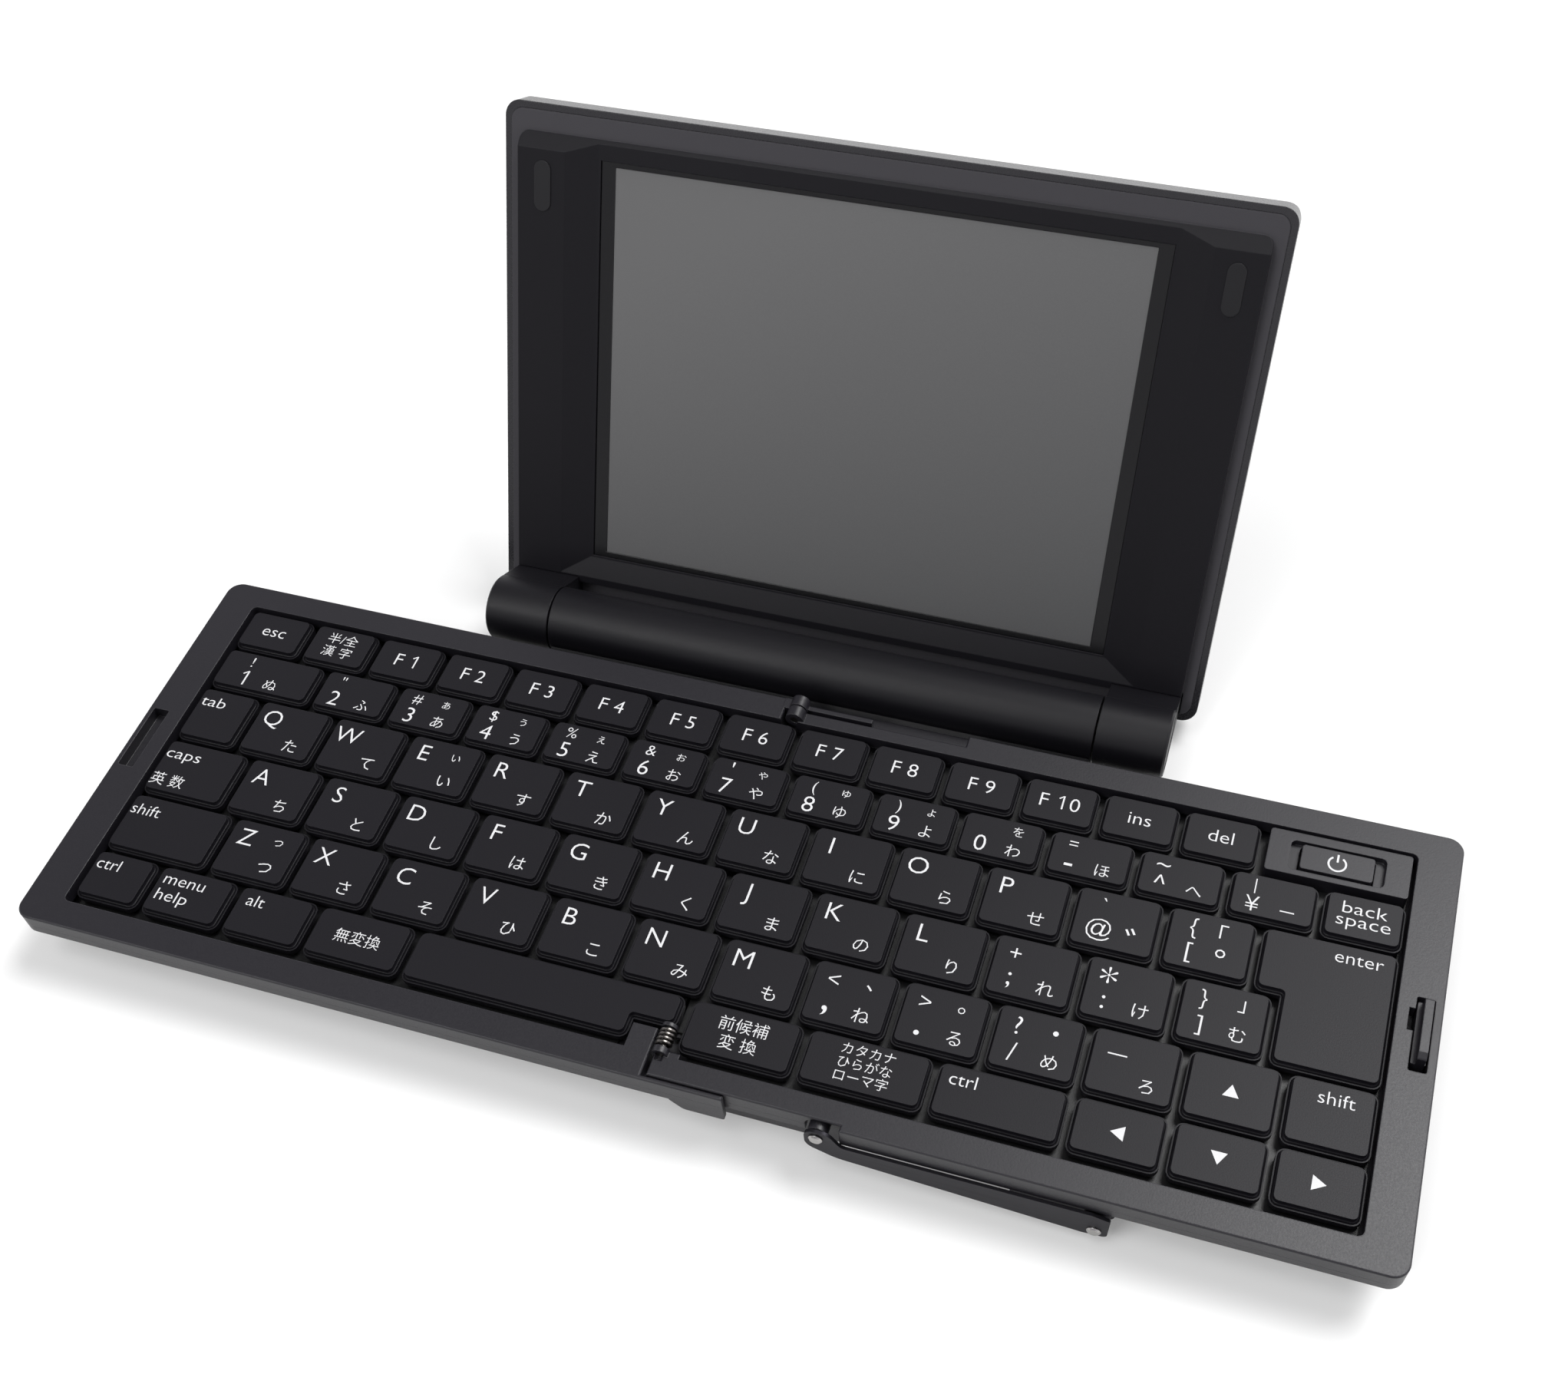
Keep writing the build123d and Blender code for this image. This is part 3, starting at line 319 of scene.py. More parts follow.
finishes = {
    "shell": mouldedPlastic("graphiteShell", (0.0107, 0.0099, 0.0138), (0.0086, 0.0079, 0.0110),
                            roughness=0.42),
    # painted sheen: the flange's lighter tone is partly its satin coat and partly the sheen it catches,
    # painted in
    "lidFace": mouldedPlastic("lidFacePlastic", (0.0078, 0.0073, 0.0098), (0.0062, 0.0058, 0.0078),
                              shine=0.17, coatAndSheen=(lidOut, flangeLevel, (0.056, 0.0540, 0.0610))),
    "lidShell": mouldedPlastic("lidShellGloss", (0.0120, 0.0115, 0.0145), (0.0100, 0.0095, 0.0122),
                               roughness=0.27, depth=0.002, shine=0.6),
    "keys": mouldedPlastic("keyCaps", (0.0069, 0.0063, 0.0090), (0.0056, 0.0051, 0.0072),
                           roughness=0.46, grain=0.25, edge=0.12, shine=0.25, edgeHighlight=0.06),
    "barrel": mouldedPlastic("barrelGloss", (0.0054, 0.0050, 0.0070), (0.0044, 0.0041, 0.0057),
                             roughness=0.46, grain=0.5, depth=0.006, shine=0.26, edgeHighlight=0.1),
    "dark": mouldedPlastic("darkFittings", (0.0050, 0.0050, 0.0056), (0.0040, 0.0040, 0.0046),
                           roughness=0.4, edgeHighlight=0.15),
    "rubber": mouldedPlastic("softRubber", (0.0065, 0.0063, 0.0070), (0.0050, 0.0048, 0.0054),
                             roughness=0.75, grain=0.6, depth=0.03, shine=0.3),
    "buffer": mouldedPlastic("bufferRubber", (0.0105, 0.0102, 0.0122), (0.0085, 0.0083, 0.0100),
                             roughness=0.5, grain=0.5, depth=0.01, edge=0.3, shine=0.27),
    "laminate": mouldedPlastic("circuitLaminate", (0.03, 0.16, 0.09), (0.02, 0.11, 0.06), roughness=0.35),
    "border": mouldedPlastic("borderGloss", (0.0035, 0.0035, 0.0042), (0.0030, 0.0030, 0.0036),
                             roughness=0.22, depth=0.002, shine=0.35, edgeHighlight=0.05),
    "steel": sheetMetal("plainSteel", (0.62, 0.61, 0.60)),
    "bright": sheetMetal("brightSteel", (0.42, 0.41, 0.40), roughness=0.24, streak=30.0),
    "arm": sheetMetal("darkArmPlate", (0.030, 0.029, 0.034), roughness=0.5),
    "spring": sheetMetal("springWire", (0.17, 0.16, 0.15), streak=30.0),
    "jacket": sheetMetal("cellJacket", (0.35, 0.36, 0.40)),
}
finishOf = {  # every other node is of the shell's plastic
    "lidFace": ["lid_front_bezel"],
    "lidShell": ["lid_back_shell"],
    "barrel": ["hinge_barrel", "battery_cover", "lid_hinge_knuckles", "knuckle_end_caps"],
    "dark": ["circuit_components", "left_key_plate", "right_key_plate", "left_switch_membrane",
             "right_switch_membrane", "display_window", "display_panel"],
    "rubber": ["rubber_feet", "slide_shoes"],
    "buffer": ["lid_rubber_buffers"],
    "laminate": ["main_circuit_board", "display_driver_board"],
    "steel": ["slide_guide_rails", "base_screws", "left_half_screws", "right_half_screws", "usb_socket",
              "memory_card_socket", "lid_hinge_pins", "battery_contacts", "display_backing_frame"],
    "bright": ["arm_pivot_rivet", "arm_foot_rivet"],
    "spring": ["fold_torsion_spring", "fold_hinge_pins"],
    "arm": ["slide_arm", "arm_bracket"],
    "jacket": ["battery_left", "battery_right"],
}
chosen = {node: finish for finish, nodes in finishOf.items() for node in nodes}
for node, shown in frame["nodes"].items():
    shown.data.materials.clear()
    shown.data.materials.append(finishes[chosen.get(node, "shell")])
print("finishes are on the moulded and metal parts")


def finishedObject(name, mesh, material, body):
    made = bpy.data.objects.new(name, mesh)
    scene.collection.objects.link(made)
    if material:
        mesh.materials.clear()
        mesh.materials.append(material)
    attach(made, body)
    return made


def bodyOf(node):
    return frame["nodes"][node]["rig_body"]


# the keys, in millimetres before the shift back; levels are heights above the table
keySettings = {
    "pitch": 16.45,
    "functionPitch": 14.86,
    "gap": 1.95,
    "wellEdge": 117.5,  # half the width of the well that the keys stand in
    "corner": 1.2,
    "cornerSteps": 4,
    "top": 14.5,
    "step": 13.3,  # where the skirt ends and the cap proper starts
    "bottom": 12.2,
    "lip": 0.45,
    "edgeRound": 0.22,
    "wall": 1.1,
    "weld": 0.002,
    "sharpAngle": 50,
    "spaceBar": (-50.9, 1.0),
    "spaceNotch": (-7.7, 4.1),  # the corner cut for the fold's spring: its left, and its depth from the front
}
edge, pitch, functionPitch = (keySettings[k] for k in ("wellEdge", "pitch", "functionPitch"))
halfGap = keySettings["gap"] / 2
rowDepths = {
    "function": (12.9, 21.9),
    "number": (2.3, 11.3),
    "upper": (-11.3, 0.7),
    "home": (-24.9, -12.9),
    "lower": (-38.5, -26.5),
    "bottom": (-49.7, -40.1),
}
rowFolds = {"function": 1.4, "number": 3.7, "upper": -5.5, "home": -0.75, "lower": 3.1}
rowNodes = {
    "function": "function_keys",
    "number": "number_keys",
    "upper": "upper_letter_keys",
    "home": "home_keys",
    "lower": "lower_letter_keys",
    "bottom": "bottom_keys",
}


def stepsOf(start, width, count):
    return [start + width * i for i in range(count + 1)]


rowEdges = {
    ("left", "function"): [-edge] + stepsOf(rowFolds["function"] - 7 * functionPitch, functionPitch, 7),
    ("left", "number"): [-edge] + stepsOf(rowFolds["number"] - 6 * pitch, pitch, 6),
    ("left", "upper"): [-edge] + stepsOf(rowFolds["upper"] - 6 * pitch, pitch, 6),
    ("left", "home"): [-edge] + stepsOf(rowFolds["home"] - 6 * pitch, pitch, 6),
    ("left", "lower"): [-edge] + stepsOf(rowFolds["lower"] - 6 * pitch, pitch, 6),
    ("left", "bottom"): [-edge, -103.8, -87.1, -70.6, -50.9],
    ("right", "function"): stepsOf(rowFolds["function"], functionPitch, 6),
    ("right", "number"): stepsOf(rowFolds["number"], pitch, 6) + [edge],
    ("right", "upper"): stepsOf(rowFolds["upper"], pitch, 6),
    ("right", "home"): stepsOf(rowFolds["home"], pitch, 6),
    ("right", "lower"): stepsOf(rowFolds["lower"], pitch, 6) + [edge],
    ("right", "bottom"): [1.5, 22.7, 45.6, 68.9, 68.9 + pitch, 68.9 + 2 * pitch, edge],
}


def roundedOutline(corners, steps):
    # corners are (x, y, radius) anticlockwise and square; gives points with the way out at each
    ring = []
    count = len(corners)
    for i, (x, y, radius) in enumerate(corners):
        point = Vector((x, y))
        back = (Vector(corners[i - 1][:2]) - point).normalized()
        ahead = (Vector(corners[(i + 1) % count][:2]) - point).normalized()
        convex = back.x * ahead.y - back.y * ahead.x < 0
        for k in range(steps + 1):
            turn = pi / 2 * k / steps
            ray = -(ahead * cos(turn) + back * sin(turn))
            place = point + (back + ahead) * radius + ray * radius
            ring.append((place, ray if convex else -ray))
    return ring


def keyRectangle(x0, x1, front, back):
    corner = keySettings["corner"]
    left, right = x0 + halfGap, x1 - halfGap
    return [(left, front, corner), (right, front, corner), (right, back, corner), (left, back, corner)]


def spaceOutline():
    corner = keySettings["corner"]
    front, back = rowDepths["bottom"]
    barLeft, barRight = keySettings["spaceBar"]
    left, right = barLeft + halfGap, barRight - halfGap
    notchX, notchDepth = keySettings["spaceNotch"]
    notchY = front + notchDepth
    return [(left, front, corner), (notchX, front, corner), (notchX, notchY, corner / 2),
            (right, notchY, corner), (right, back, corner), (left, back, corner)]


def enterOutline():
    corner = keySettings["corner"]
    backLeft = rowFolds["upper"] + 6 * pitch + halfGap
    homeLeft = rowFolds["home"] + 6 * pitch + halfGap
    right = edge - halfGap
    front, (step, back) = rowDepths["home"][0], rowDepths["upper"]
    return [(homeLeft, front, corner), (right, front, corner), (right, back, corner),
            (backLeft, back, corner), (backLeft, step, corner), (homeLeft, step, corner / 2)]


capSteps = [  # how far the outline moves out, then up, at every step, as shares of a cap's sizes
    (None, [("Skirt Height", 0.84)]),
    ([("Skirt Lip", -0.3)], [("Skirt Height", 0.12)]),
    ([("Skirt Lip", -0.6)], [("Skirt Height", 0.04)]),
    ([("Skirt Lip", -0.1), ("Edge Round", -0.2)], [("Cap Height", 0.08)]),
    (None, [("Cap Height", 0.92), ("Edge Round", -1)]),
    ([("Edge Round", -0.3)], [("Edge Round", 0.7)]),
    ([("Edge Round", -0.7)], [("Edge Round", 0.3)]),
]


def keycapForm():
    # every flat face given to it grows into a hollow cap with a stepped skirt and a rounded top edge
    tree = bpy.data.node_groups.new("keycapForm", "GeometryNodeTree")
    nodes, links = tree.nodes, tree.links
    tree.interface.new_socket("Outlines", in_out="INPUT", socket_type="NodeSocketGeometry")
    for name in ("Skirt Lip", "Skirt Height", "Cap Height", "Edge Round", "Wall", "Hollow Height"):
        tree.interface.new_socket(name, in_out="INPUT", socket_type="NodeSocketFloat")
    tree.interface.new_socket("Plastic", in_out="INPUT", socket_type="NodeSocketMaterial")
    tree.interface.new_socket("Keys", in_out="OUTPUT", socket_type="NodeSocketGeometry")
    given, result = nodes.new("NodeGroupInput"), nodes.new("NodeGroupOutput")
    outward = nodes.new("GeometryNodeInputNamedAttribute")
    outward.data_type = "FLOAT_VECTOR"
    outward.inputs["Name"].default_value = "outward"

    def share(parts):
        # a sum of named inputs, each times a factor
        total = None
        for name, factor in parts:
            part = nodes.new("ShaderNodeMath")
            part.operation = "MULTIPLY_ADD"
            links.new(given.outputs[name], part.inputs[0])
            part.inputs[1].default_value = factor
            if total:
                links.new(total, part.inputs[2])
            else:
                part.inputs[2].default_value = 0
            total = part.outputs[0]
        return total

    def shifted(geometry, chosenFaces, out, up):
        aside, rise, move = shaders(nodes, "VectorMath", "CombineXYZ", "VectorMath")
        aside.operation, move.operation = "SCALE", "ADD"
        setInputs(aside, {"Scale": 0})
        links.new(outward.outputs["Attribute"], aside.inputs[0])
        if out:
            links.new(share(out), aside.inputs["Scale"])
        if up:
            links.new(share(up), rise.inputs["Z"])
        placed = nodes.new("GeometryNodeSetPosition")
        join(links, (aside.outputs[0], move.inputs[0]), (rise.outputs[0], move.inputs[1]),
             (geometry, placed.inputs["Geometry"]), (move.outputs[0], placed.inputs["Offset"]))
        if chosenFaces:
            links.new(chosenFaces, placed.inputs["Selection"])
        return placed.outputs[0]

    def grown(geometry, moves):
        # pushes the face on by sideways and upward moves, one after another
        for out, up in moves:
            pushed = nodes.new("GeometryNodeExtrudeMesh")
            setInputs(pushed, {"Individual": False, "Offset Scale": 0})
            links.new(geometry, pushed.inputs["Mesh"])
            geometry = shifted(pushed.outputs["Mesh"], pushed.outputs["Top"], out, up)
        return geometry

    start = shifted(given.outputs["Outlines"], None, [("Skirt Lip", 1)], None)
    outside = grown(start, capSteps)
    under, joined, welded, real, painted = geometryNodes(
        nodes, "FlipFaces", "JoinGeometry", "MergeByDistance", "RealizeInstances", "SetMaterial")
    setInputs(welded, {"Distance": keySettings["weld"] * mm})
    links.new(start, under.inputs[0])
    inside = grown(under.outputs[0], [([("Wall", -1)], None), (None, [("Hollow Height", 1)])])
    join(links, (outside, joined.inputs[0]), (inside, joined.inputs[0]),
         (joined.outputs[0], welded.inputs["Geometry"]), (welded.outputs[0], real.inputs[0]),
         (real.outputs[0], painted.inputs["Geometry"]),
         (given.outputs["Plastic"], painted.inputs["Material"]), (painted.outputs[0], result.inputs["Keys"]))
    return tree


def closedMesh(name, loops, ring):
    # quads between loops of points; a ring joins its last loop to its first, else both ends are capped
    target = bmesh.new()
    rows = [[target.verts.new(p) for p in loop] for loop in loops]
    pairs = list(zip(rows, rows[1:]))
    if ring:
        pairs.append((rows[-1], rows[0]))
    for low, high in pairs:
        for i in range(len(low)):
            j = (i + 1) % len(low)
            target.faces.new((low[i], low[j], high[j], high[i]))
    if not ring:
        target.faces.new(rows[0][::-1])
        target.faces.new(rows[-1])
    bmesh.ops.recalc_face_normals(target, faces=target.faces)
    mesh = bpy.data.meshes.new(name)
    target.to_mesh(mesh)
    target.free()
    return mesh


def runTree(name, mesh, tree, values):
    # a plain mesh made by a tree of Geometry Nodes from a starting mesh
    holder = bpy.data.objects.new(name + "Start", mesh)
    scene.collection.objects.link(holder)
    modifier = holder.modifiers.new("form", "NODES")
    modifier.node_group = tree
    for item in tree.interface.items_tree:
        if item.in_out == "INPUT" and item.name in values:
            modifier[item.identifier] = values[item.name]
    bpy.context.view_layer.update()
    plain = bpy.data.meshes.new_from_object(holder.evaluated_get(bpy.context.evaluated_depsgraph_get()))
    plain.name = name
    bpy.data.objects.remove(holder)
    return plain


def outlineMesh(name, outlines, height):
    points, faces, ways = [], [], []
    for corners in outlines:
        ring = roundedOutline(corners, keySettings["cornerSteps"])
        faces.append(list(range(len(points), len(points) + len(ring))))
        for place, out in ring:
            points.append((place.x * mm, (place.y - foldBack) * mm, height * mm))
            ways.append((out.x, out.y, 0))
    mesh = bpy.data.meshes.new(name)
    mesh.from_pydata(points, [], faces)
    attribute = mesh.attributes.new("outward", "FLOAT_VECTOR", "POINT")
    attribute.data.foreach_set("vector", [c for way in ways for c in way])
    return mesh


capTree = keycapForm()
capValues = {
    "Skirt Lip": keySettings["lip"] * mm,
    "Skirt Height": (keySettings["step"] - keySettings["bottom"]) * mm,
    "Cap Height": (keySettings["top"] - keySettings["step"]) * mm,
    "Edge Round": keySettings["edgeRound"] * mm,
    "Wall": keySettings["wall"] * mm,
    "Hollow Height": (keySettings["top"] - keySettings["wall"] - keySettings["bottom"]) * mm,
    "Plastic": finishes["keys"],
}


def makeKeys(name, node, outlines):
    plain = runTree(name, outlineMesh(name, outlines, keySettings["bottom"]), capTree, capValues)
    plain.shade_smooth()
    plain.set_sharp_from_angle(angle=radians(keySettings["sharpAngle"]))
    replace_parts(finishedObject(name, plain, None, bodyOf(node)), node)


keyRects = {}
for (side, row), edges in rowEdges.items():
    front, back = rowDepths[row]
    rects = [keyRectangle(edges[i], edges[i + 1], front, back) for i in range(len(edges) - 1)]
    keyRects[side, row] = rects
    makeKeys(side + row.capitalize() + "Caps", side + "_" + rowNodes[row], rects)
makeKeys("spaceBarCap", "space_bar", [spaceOutline()])
makeKeys("enterCap", "enter_key", [enterOutline()])
print("keycaps are grown from their outlines")

# the bare rating plate under the base
plateSettings = {
    "half": (24.0, 8.5),
    "centre": (0.0, -10.0),
    "levels": (0.88, 1.02),
    "corner": 1.6,
    "cornerSteps": 5,
}
plateX, plateY = plateSettings["half"]
centreX, centreY = plateSettings["centre"]
plateCorners = [(sx * plateX + centreX, sy * plateY + centreY, plateSettings["corner"])
                for sx, sy in ((-1, -1), (1, -1), (1, 1), (-1, 1))]
plateRing = [place for place, out in roundedOutline(plateCorners, plateSettings["cornerSteps"])]
plateLoops = [[Vector((p.x, p.y - foldBack, level)) * mm for p in plateRing]
              for level in plateSettings["levels"]]
finishedObject("ratingPlate", closedMesh("ratingPlate", plateLoops, False), finishes["jacket"], "base")
print("the bare rating plate is on the underside")

# the screws of the case and of the two keyboard halves, heads down, in millimetres
screwSettings = {
    "headRadius": 1.5,
    "shankRadius": 0.95,
    "headHeight": 0.7,
    "slotLength": 1.9,
    "slotWidth": 0.42,
    "slotDepth": 0.45,
    "sides": 24,
    "rows": [  # name, node, level of the heads, length, and the columns and rows of their places
        ("caseScrews", "base_screws", 1.5, 5.0, (-64, 64), (-44.5, 25)),
        ("leftHalfScrews", "left_half_screws", 9.9, 1.8, (-118.5, -60), (-54.7, 25.2)),
        ("rightHalfScrews", "right_half_screws", 9.9, 1.8, (60, 118.5), (-54.7, 25.2)),
    ],
}


def screwForm():
    # a cross-slotted screw, head down, at every point of the mesh it is given
    tree = bpy.data.node_groups.new("screwForm", "GeometryNodeTree")
    nodes, links = tree.nodes, tree.links
    tree.interface.new_socket("Places", in_out="INPUT", socket_type="NodeSocketGeometry")
    for name in ("Head Radius", "Shank Radius", "Head Height", "Length", "Slot Length", "Slot Width",
                 "Slot Depth"):
        tree.interface.new_socket(name, in_out="INPUT", socket_type="NodeSocketFloat")
    tree.interface.new_socket("Metal", in_out="INPUT", socket_type="NodeSocketMaterial")
    tree.interface.new_socket("Screws", in_out="OUTPUT", socket_type="NodeSocketGeometry")
    given, result = nodes.new("NodeGroupInput"), nodes.new("NodeGroupOutput")

    def weighed(name, factor, other=None, otherFactor=0.0):
        # a named input times its factor, plus another one times its own
        part, total = shaders(nodes, "Math", "Math")
        part.operation, total.operation = "MULTIPLY", "MULTIPLY_ADD"
        part.inputs[1].default_value, total.inputs[1].default_value = factor, otherFactor
        join(links, (given.outputs[name], part.inputs[0]),
             (given.outputs[other or name], total.inputs[0]), (part.outputs[0], total.inputs[2]))
        return total.outputs[0]

    def raised(geometry, height):
        # lifts a shape by the height that another node gives
        up, move = nodes.new("ShaderNodeCombineXYZ"), nodes.new("GeometryNodeTransform")
        join(links, (height, up.inputs["Z"]), (geometry, move.inputs["Geometry"]),
             (up.outputs[0], move.inputs["Translation"]))
        return move.outputs[0]

    def post(radius, length, middle):
        bar = nodes.new("GeometryNodeMeshCylinder")
        setInputs(bar, {"Vertices": screwSettings["sides"]})
        join(links, (given.outputs[radius], bar.inputs["Radius"]), (length, bar.inputs["Depth"]))
        return raised(bar.outputs["Mesh"], middle)

    def slot(lengthAxis, widthAxis):
        bar, size = nodes.new("GeometryNodeMeshCube"), nodes.new("ShaderNodeCombineXYZ")
        join(links, (given.outputs["Slot Length"], size.inputs[lengthAxis]),
             (given.outputs["Slot Width"], size.inputs[widthAxis]),
             (weighed("Slot Depth", 2.0), size.inputs["Z"]), (size.outputs[0], bar.inputs["Size"]))
        return bar.outputs["Mesh"]

    head = post("Head Radius", given.outputs["Head Height"], weighed("Head Height", 0.5))
    # the shank starts in the middle of the head
    shank = post("Shank Radius", weighed("Length", 1.0, "Head Height", -0.5),
                 weighed("Length", 0.5, "Head Height", 0.25))
    whole, cross, cut = geometryNodes(nodes, "MeshBoolean", "MeshBoolean", "MeshBoolean")
    whole.operation, cross.operation, cut.operation = "UNION", "UNION", "DIFFERENCE"
    for target, parts in ((whole, (head, shank)), (cross, (slot("X", "Y"), slot("Y", "X")))):
        for part in parts:
            links.new(part, target.inputs["Mesh 2"])
    copies, real, painted = geometryNodes(nodes, "InstanceOnPoints", "RealizeInstances", "SetMaterial")
    join(links, (whole.outputs["Mesh"], cut.inputs["Mesh 1"]), (cross.outputs["Mesh"], cut.inputs["Mesh 2"]),
         (given.outputs["Places"], copies.inputs["Points"]), (cut.outputs["Mesh"], copies.inputs["Instance"]),
         (copies.outputs[0], real.inputs[0]), (real.outputs[0], painted.inputs["Geometry"]),
         (given.outputs["Metal"], painted.inputs["Material"]), (painted.outputs[0], result.inputs["Screws"]))
    return tree


screwTree = screwForm()
screwValues = {
    "Head Radius": screwSettings["headRadius"] * mm,
    "Shank Radius": screwSettings["shankRadius"] * mm,
    "Head Height": screwSettings["headHeight"] * mm,
    "Slot Length": screwSettings["slotLength"] * mm,
    "Slot Width": screwSettings["slotWidth"] * mm,
    "Slot Depth": screwSettings["slotDepth"] * mm,
    "Metal": finishes["steel"],
}
for name, node, level, length, columns, rows in screwSettings["rows"]:
    points = bpy.data.meshes.new(name + "Places")
    points.from_pydata([(x * mm, (y - foldBack) * mm, level * mm) for x in columns for y in rows], [], [])
    screwMesh = runTree(name, points, screwTree, {**screwValues, "Length": length * mm})
    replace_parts(finishedObject(name, screwMesh, None, bodyOf(node)), node)
print("screws stand in their bosses")

# the legends: sizes in mm, and what each cap carries as (text, x from the cap's left, y from its back,
# height, and whether x is its "centre", "left" or "right")
legendSettings = {
    "capHeight": 0.686,  # of the built-in type at size 1
    "kanaHeight": 0.85,
    "latinWeight": -0.013,  # how far an outline moves out, as a share of its height
    "kanaWeight": -0.007,
    "wordStretch": 1.06,
    "wideWords": {"caps": 1.26, "tab": 1.24, "back": 1.2, "space": 1.2, "menu": 1.13, "help": 1.17},
    "thickness": 0.03,
    "standsProud": 0.012,
    "arrow": 2.6,
    "inkTones": ((0.72, 0.72, 0.73), (0.60, 0.60, 0.62)),
    "inkScale": 2500.0,
    "inkRoughness": 0.6,
    "latinEnd": 0x250,  # letters from here on are not Latin
    "enter": ("enter", 2.1, 3.8, 2.5, "right"),
}
legendSpots = {  # the Latin marks, the kana and the small kana: x, y and height
    "letter": ((3.6, 5.4, 3.6), (10.0, 9.1, 2.9), (10.1, 3.4, 2.25)),
    "number": ((3.8, 8.1, 3.5), (3.9, 3.4, 2.4), (10.0, 6.7, 2.7), (10.1, 2.4, 2.1)),
    "pair": ((3.7, 9.8, 3.0), (3.7, 4.8, 3.0), (10.2, 9.0, 2.9), (10.1, 3.4, 2.3)),
}


def marked(kind, marks, aside=0.0):
    return [(mark, x + aside, y, height, "centre") for mark, (x, y, height) in zip(marks, legendSpots[kind])
            if mark]


def keysOf(kind, text):
    return [marked(kind, marks) for marks in text.split()]


def words(align, x, *lines):
    return [(text, x, y, height, align) for text, y, height in lines]


def placed(*marks):
    return [(*mark, "centre") for mark in marks]


def middles(height, y, *texts):
    # one line in the middle of each of several caps
    return [words("centre", None, (text, y, height)) for text in texts]


arrow = legendSettings["arrow"]
legends = {
    ("left", "function"): (
        middles(2.7, 5.6, "esc") + [words("centre", None, ("半/全", 2.6, 2.5), ("漢 字", 5.9, 2.5))]
        + middles(3.0, 5.9, "F 1", "F 2", "F 3", "F 4", "F 5", "F 6")),
    ("left", "number"): [marked("number", "1!ぬ", 2.2)] + keysOf("number", "2\"ふ 3#あぁ 4$うぅ 5%えぇ 6&おぉ 7'やゃ"),
    ("left", "upper"): [words("left", 0.7, ("tab", 4.2, 2.4))] + keysOf("letter", "Qた Wて Eいぃ Rす Tか Yん"),
    ("left", "home"): (
        [words("left", 0.5, ("caps", 4.1, 2.4)) + words("left", 0.4, ("英 数", 9.2, 2.7))]
        + keysOf("letter", "Aち Sと Dし Fは Gき Hく")),
    ("left", "lower"): [words("left", 0.6, ("shift", 4.3, 2.4))] + keysOf("letter", "Zつっ Xさ Cそ Vひ Bこ Nみ"),
    ("left", "bottom"): [
        words("left", 0.8, ("ctrl", 3.7, 2.4)), words("left", 1.3, ("menu", 3.5, 2.4), ("help", 7.0, 2.4)),
        words("left", 1.9, ("alt", 3.7, 2.4)), words("centre", None, ("無変換", 4.8, 2.6))],
    ("right", "function"): middles(3.0, 5.9, "F 7", "F 8", "F 9", "F 10") + middles(2.7, 5.6, "ins", "del"),
    ("right", "number"): (
        keysOf("number", "8(ゆゅ 9)よょ") + [marked("number", ("0", None, "わ", "を"))]
        + keysOf("number", "-=ほ ^~へ ¥|ー")
        + [words("centre", None, ("back", 4.0, 2.5), ("space", 6.6, 2.5))]),
    ("right", "upper"): keysOf("letter", "Uな Iに Oら Pせ") + [
        placed(("`", 4.7, 4.8, 3.4), ("@", 4.7, 9.6, 3.4), ("゛", 10.2, 7.4, 3.4)),
        placed(("{", 4.2, 4.8, 3.2), ("[", 4.2, 9.8, 3.2), ("「", 9.4, 3.1, 3.0), ("゜", 9.5, 7.6, 3.6))],
    ("right", "home"): keysOf("letter", "Jま Kの Lり") + keysOf("pair", ";+れ :*け ]}む」"),
    ("right", "lower"): (
        keysOf("letter", "Mも") + keysOf("pair", ",<ね、 .>る。 /?め・")
        + [placed(("_", 4.4, 4.0, 3.0), ("ろ", 10.1, 9.1, 2.75))]
        + middles(arrow, 5.9, "▲") + [words("right", 3.2, ("shift", 4.1, 2.4))]),
    ("right", "bottom"): [
        words("centre", None, ("前候補", 2.9, 2.6), ("変 換", 6.4, 2.6)),
        words("centre", None, ("カタカナ", 1.9, 2.1), ("ひらがな", 4.5, 2.1), ("ローマ字", 7.1, 2.1)),
        words("left", 1.8, ("ctrl", 3.7, 2.4))] + middles(arrow, 4.8, "◄", "▼", "►"),
}
# marks printed in another size than the type's: how much, and the height of their middle above the line
markForms = {
    "*": (1.75, 0.5), ",": (1.9, 0.05), ".": (2.0, 0.1), ";": (1.3, 0.3), ":": (1.3, 0.35), "-": (1.3, 0.35),
    "'": (1.4, 0.85), "/": (1.2, 0.4), "?": (1.15, 0.45), "_": (1.5, -0.146), "~": (1.35, 0.389),
    "¥": (0.9, 0.5), "、": (1.5, 0), "。": (1.6, 0), "・": (1.8, 0), "「": (1.25, 0), "」": (1.4, 0),
    "゛": (1.8, 0), "゜": (1.9, 0),
}
flaggedOne = chr(0x1D7E3)  # the built-in type's own figure one is a plain bar
print("legend table is ready")

inkMaterial, inkNodes, inkLinks = newMaterial("legendInk")
ink, inkOut, inkPlace = shaders(inkNodes, "BsdfPrincipled", "OutputMaterial", "TexCoord")
setInputs(ink, {"Roughness": legendSettings["inkRoughness"]})
inkSpecks = noise(inkNodes, inkLinks, inkPlace.outputs["Object"], legendSettings["inkScale"])
inkTone = blendTones(inkNodes, inkLinks, inkSpecks, *legendSettings["inkTones"])
join(inkLinks, (inkTone, ink.inputs["Base Color"]), (ink.outputs[0], inkOut.inputs["Surface"]))


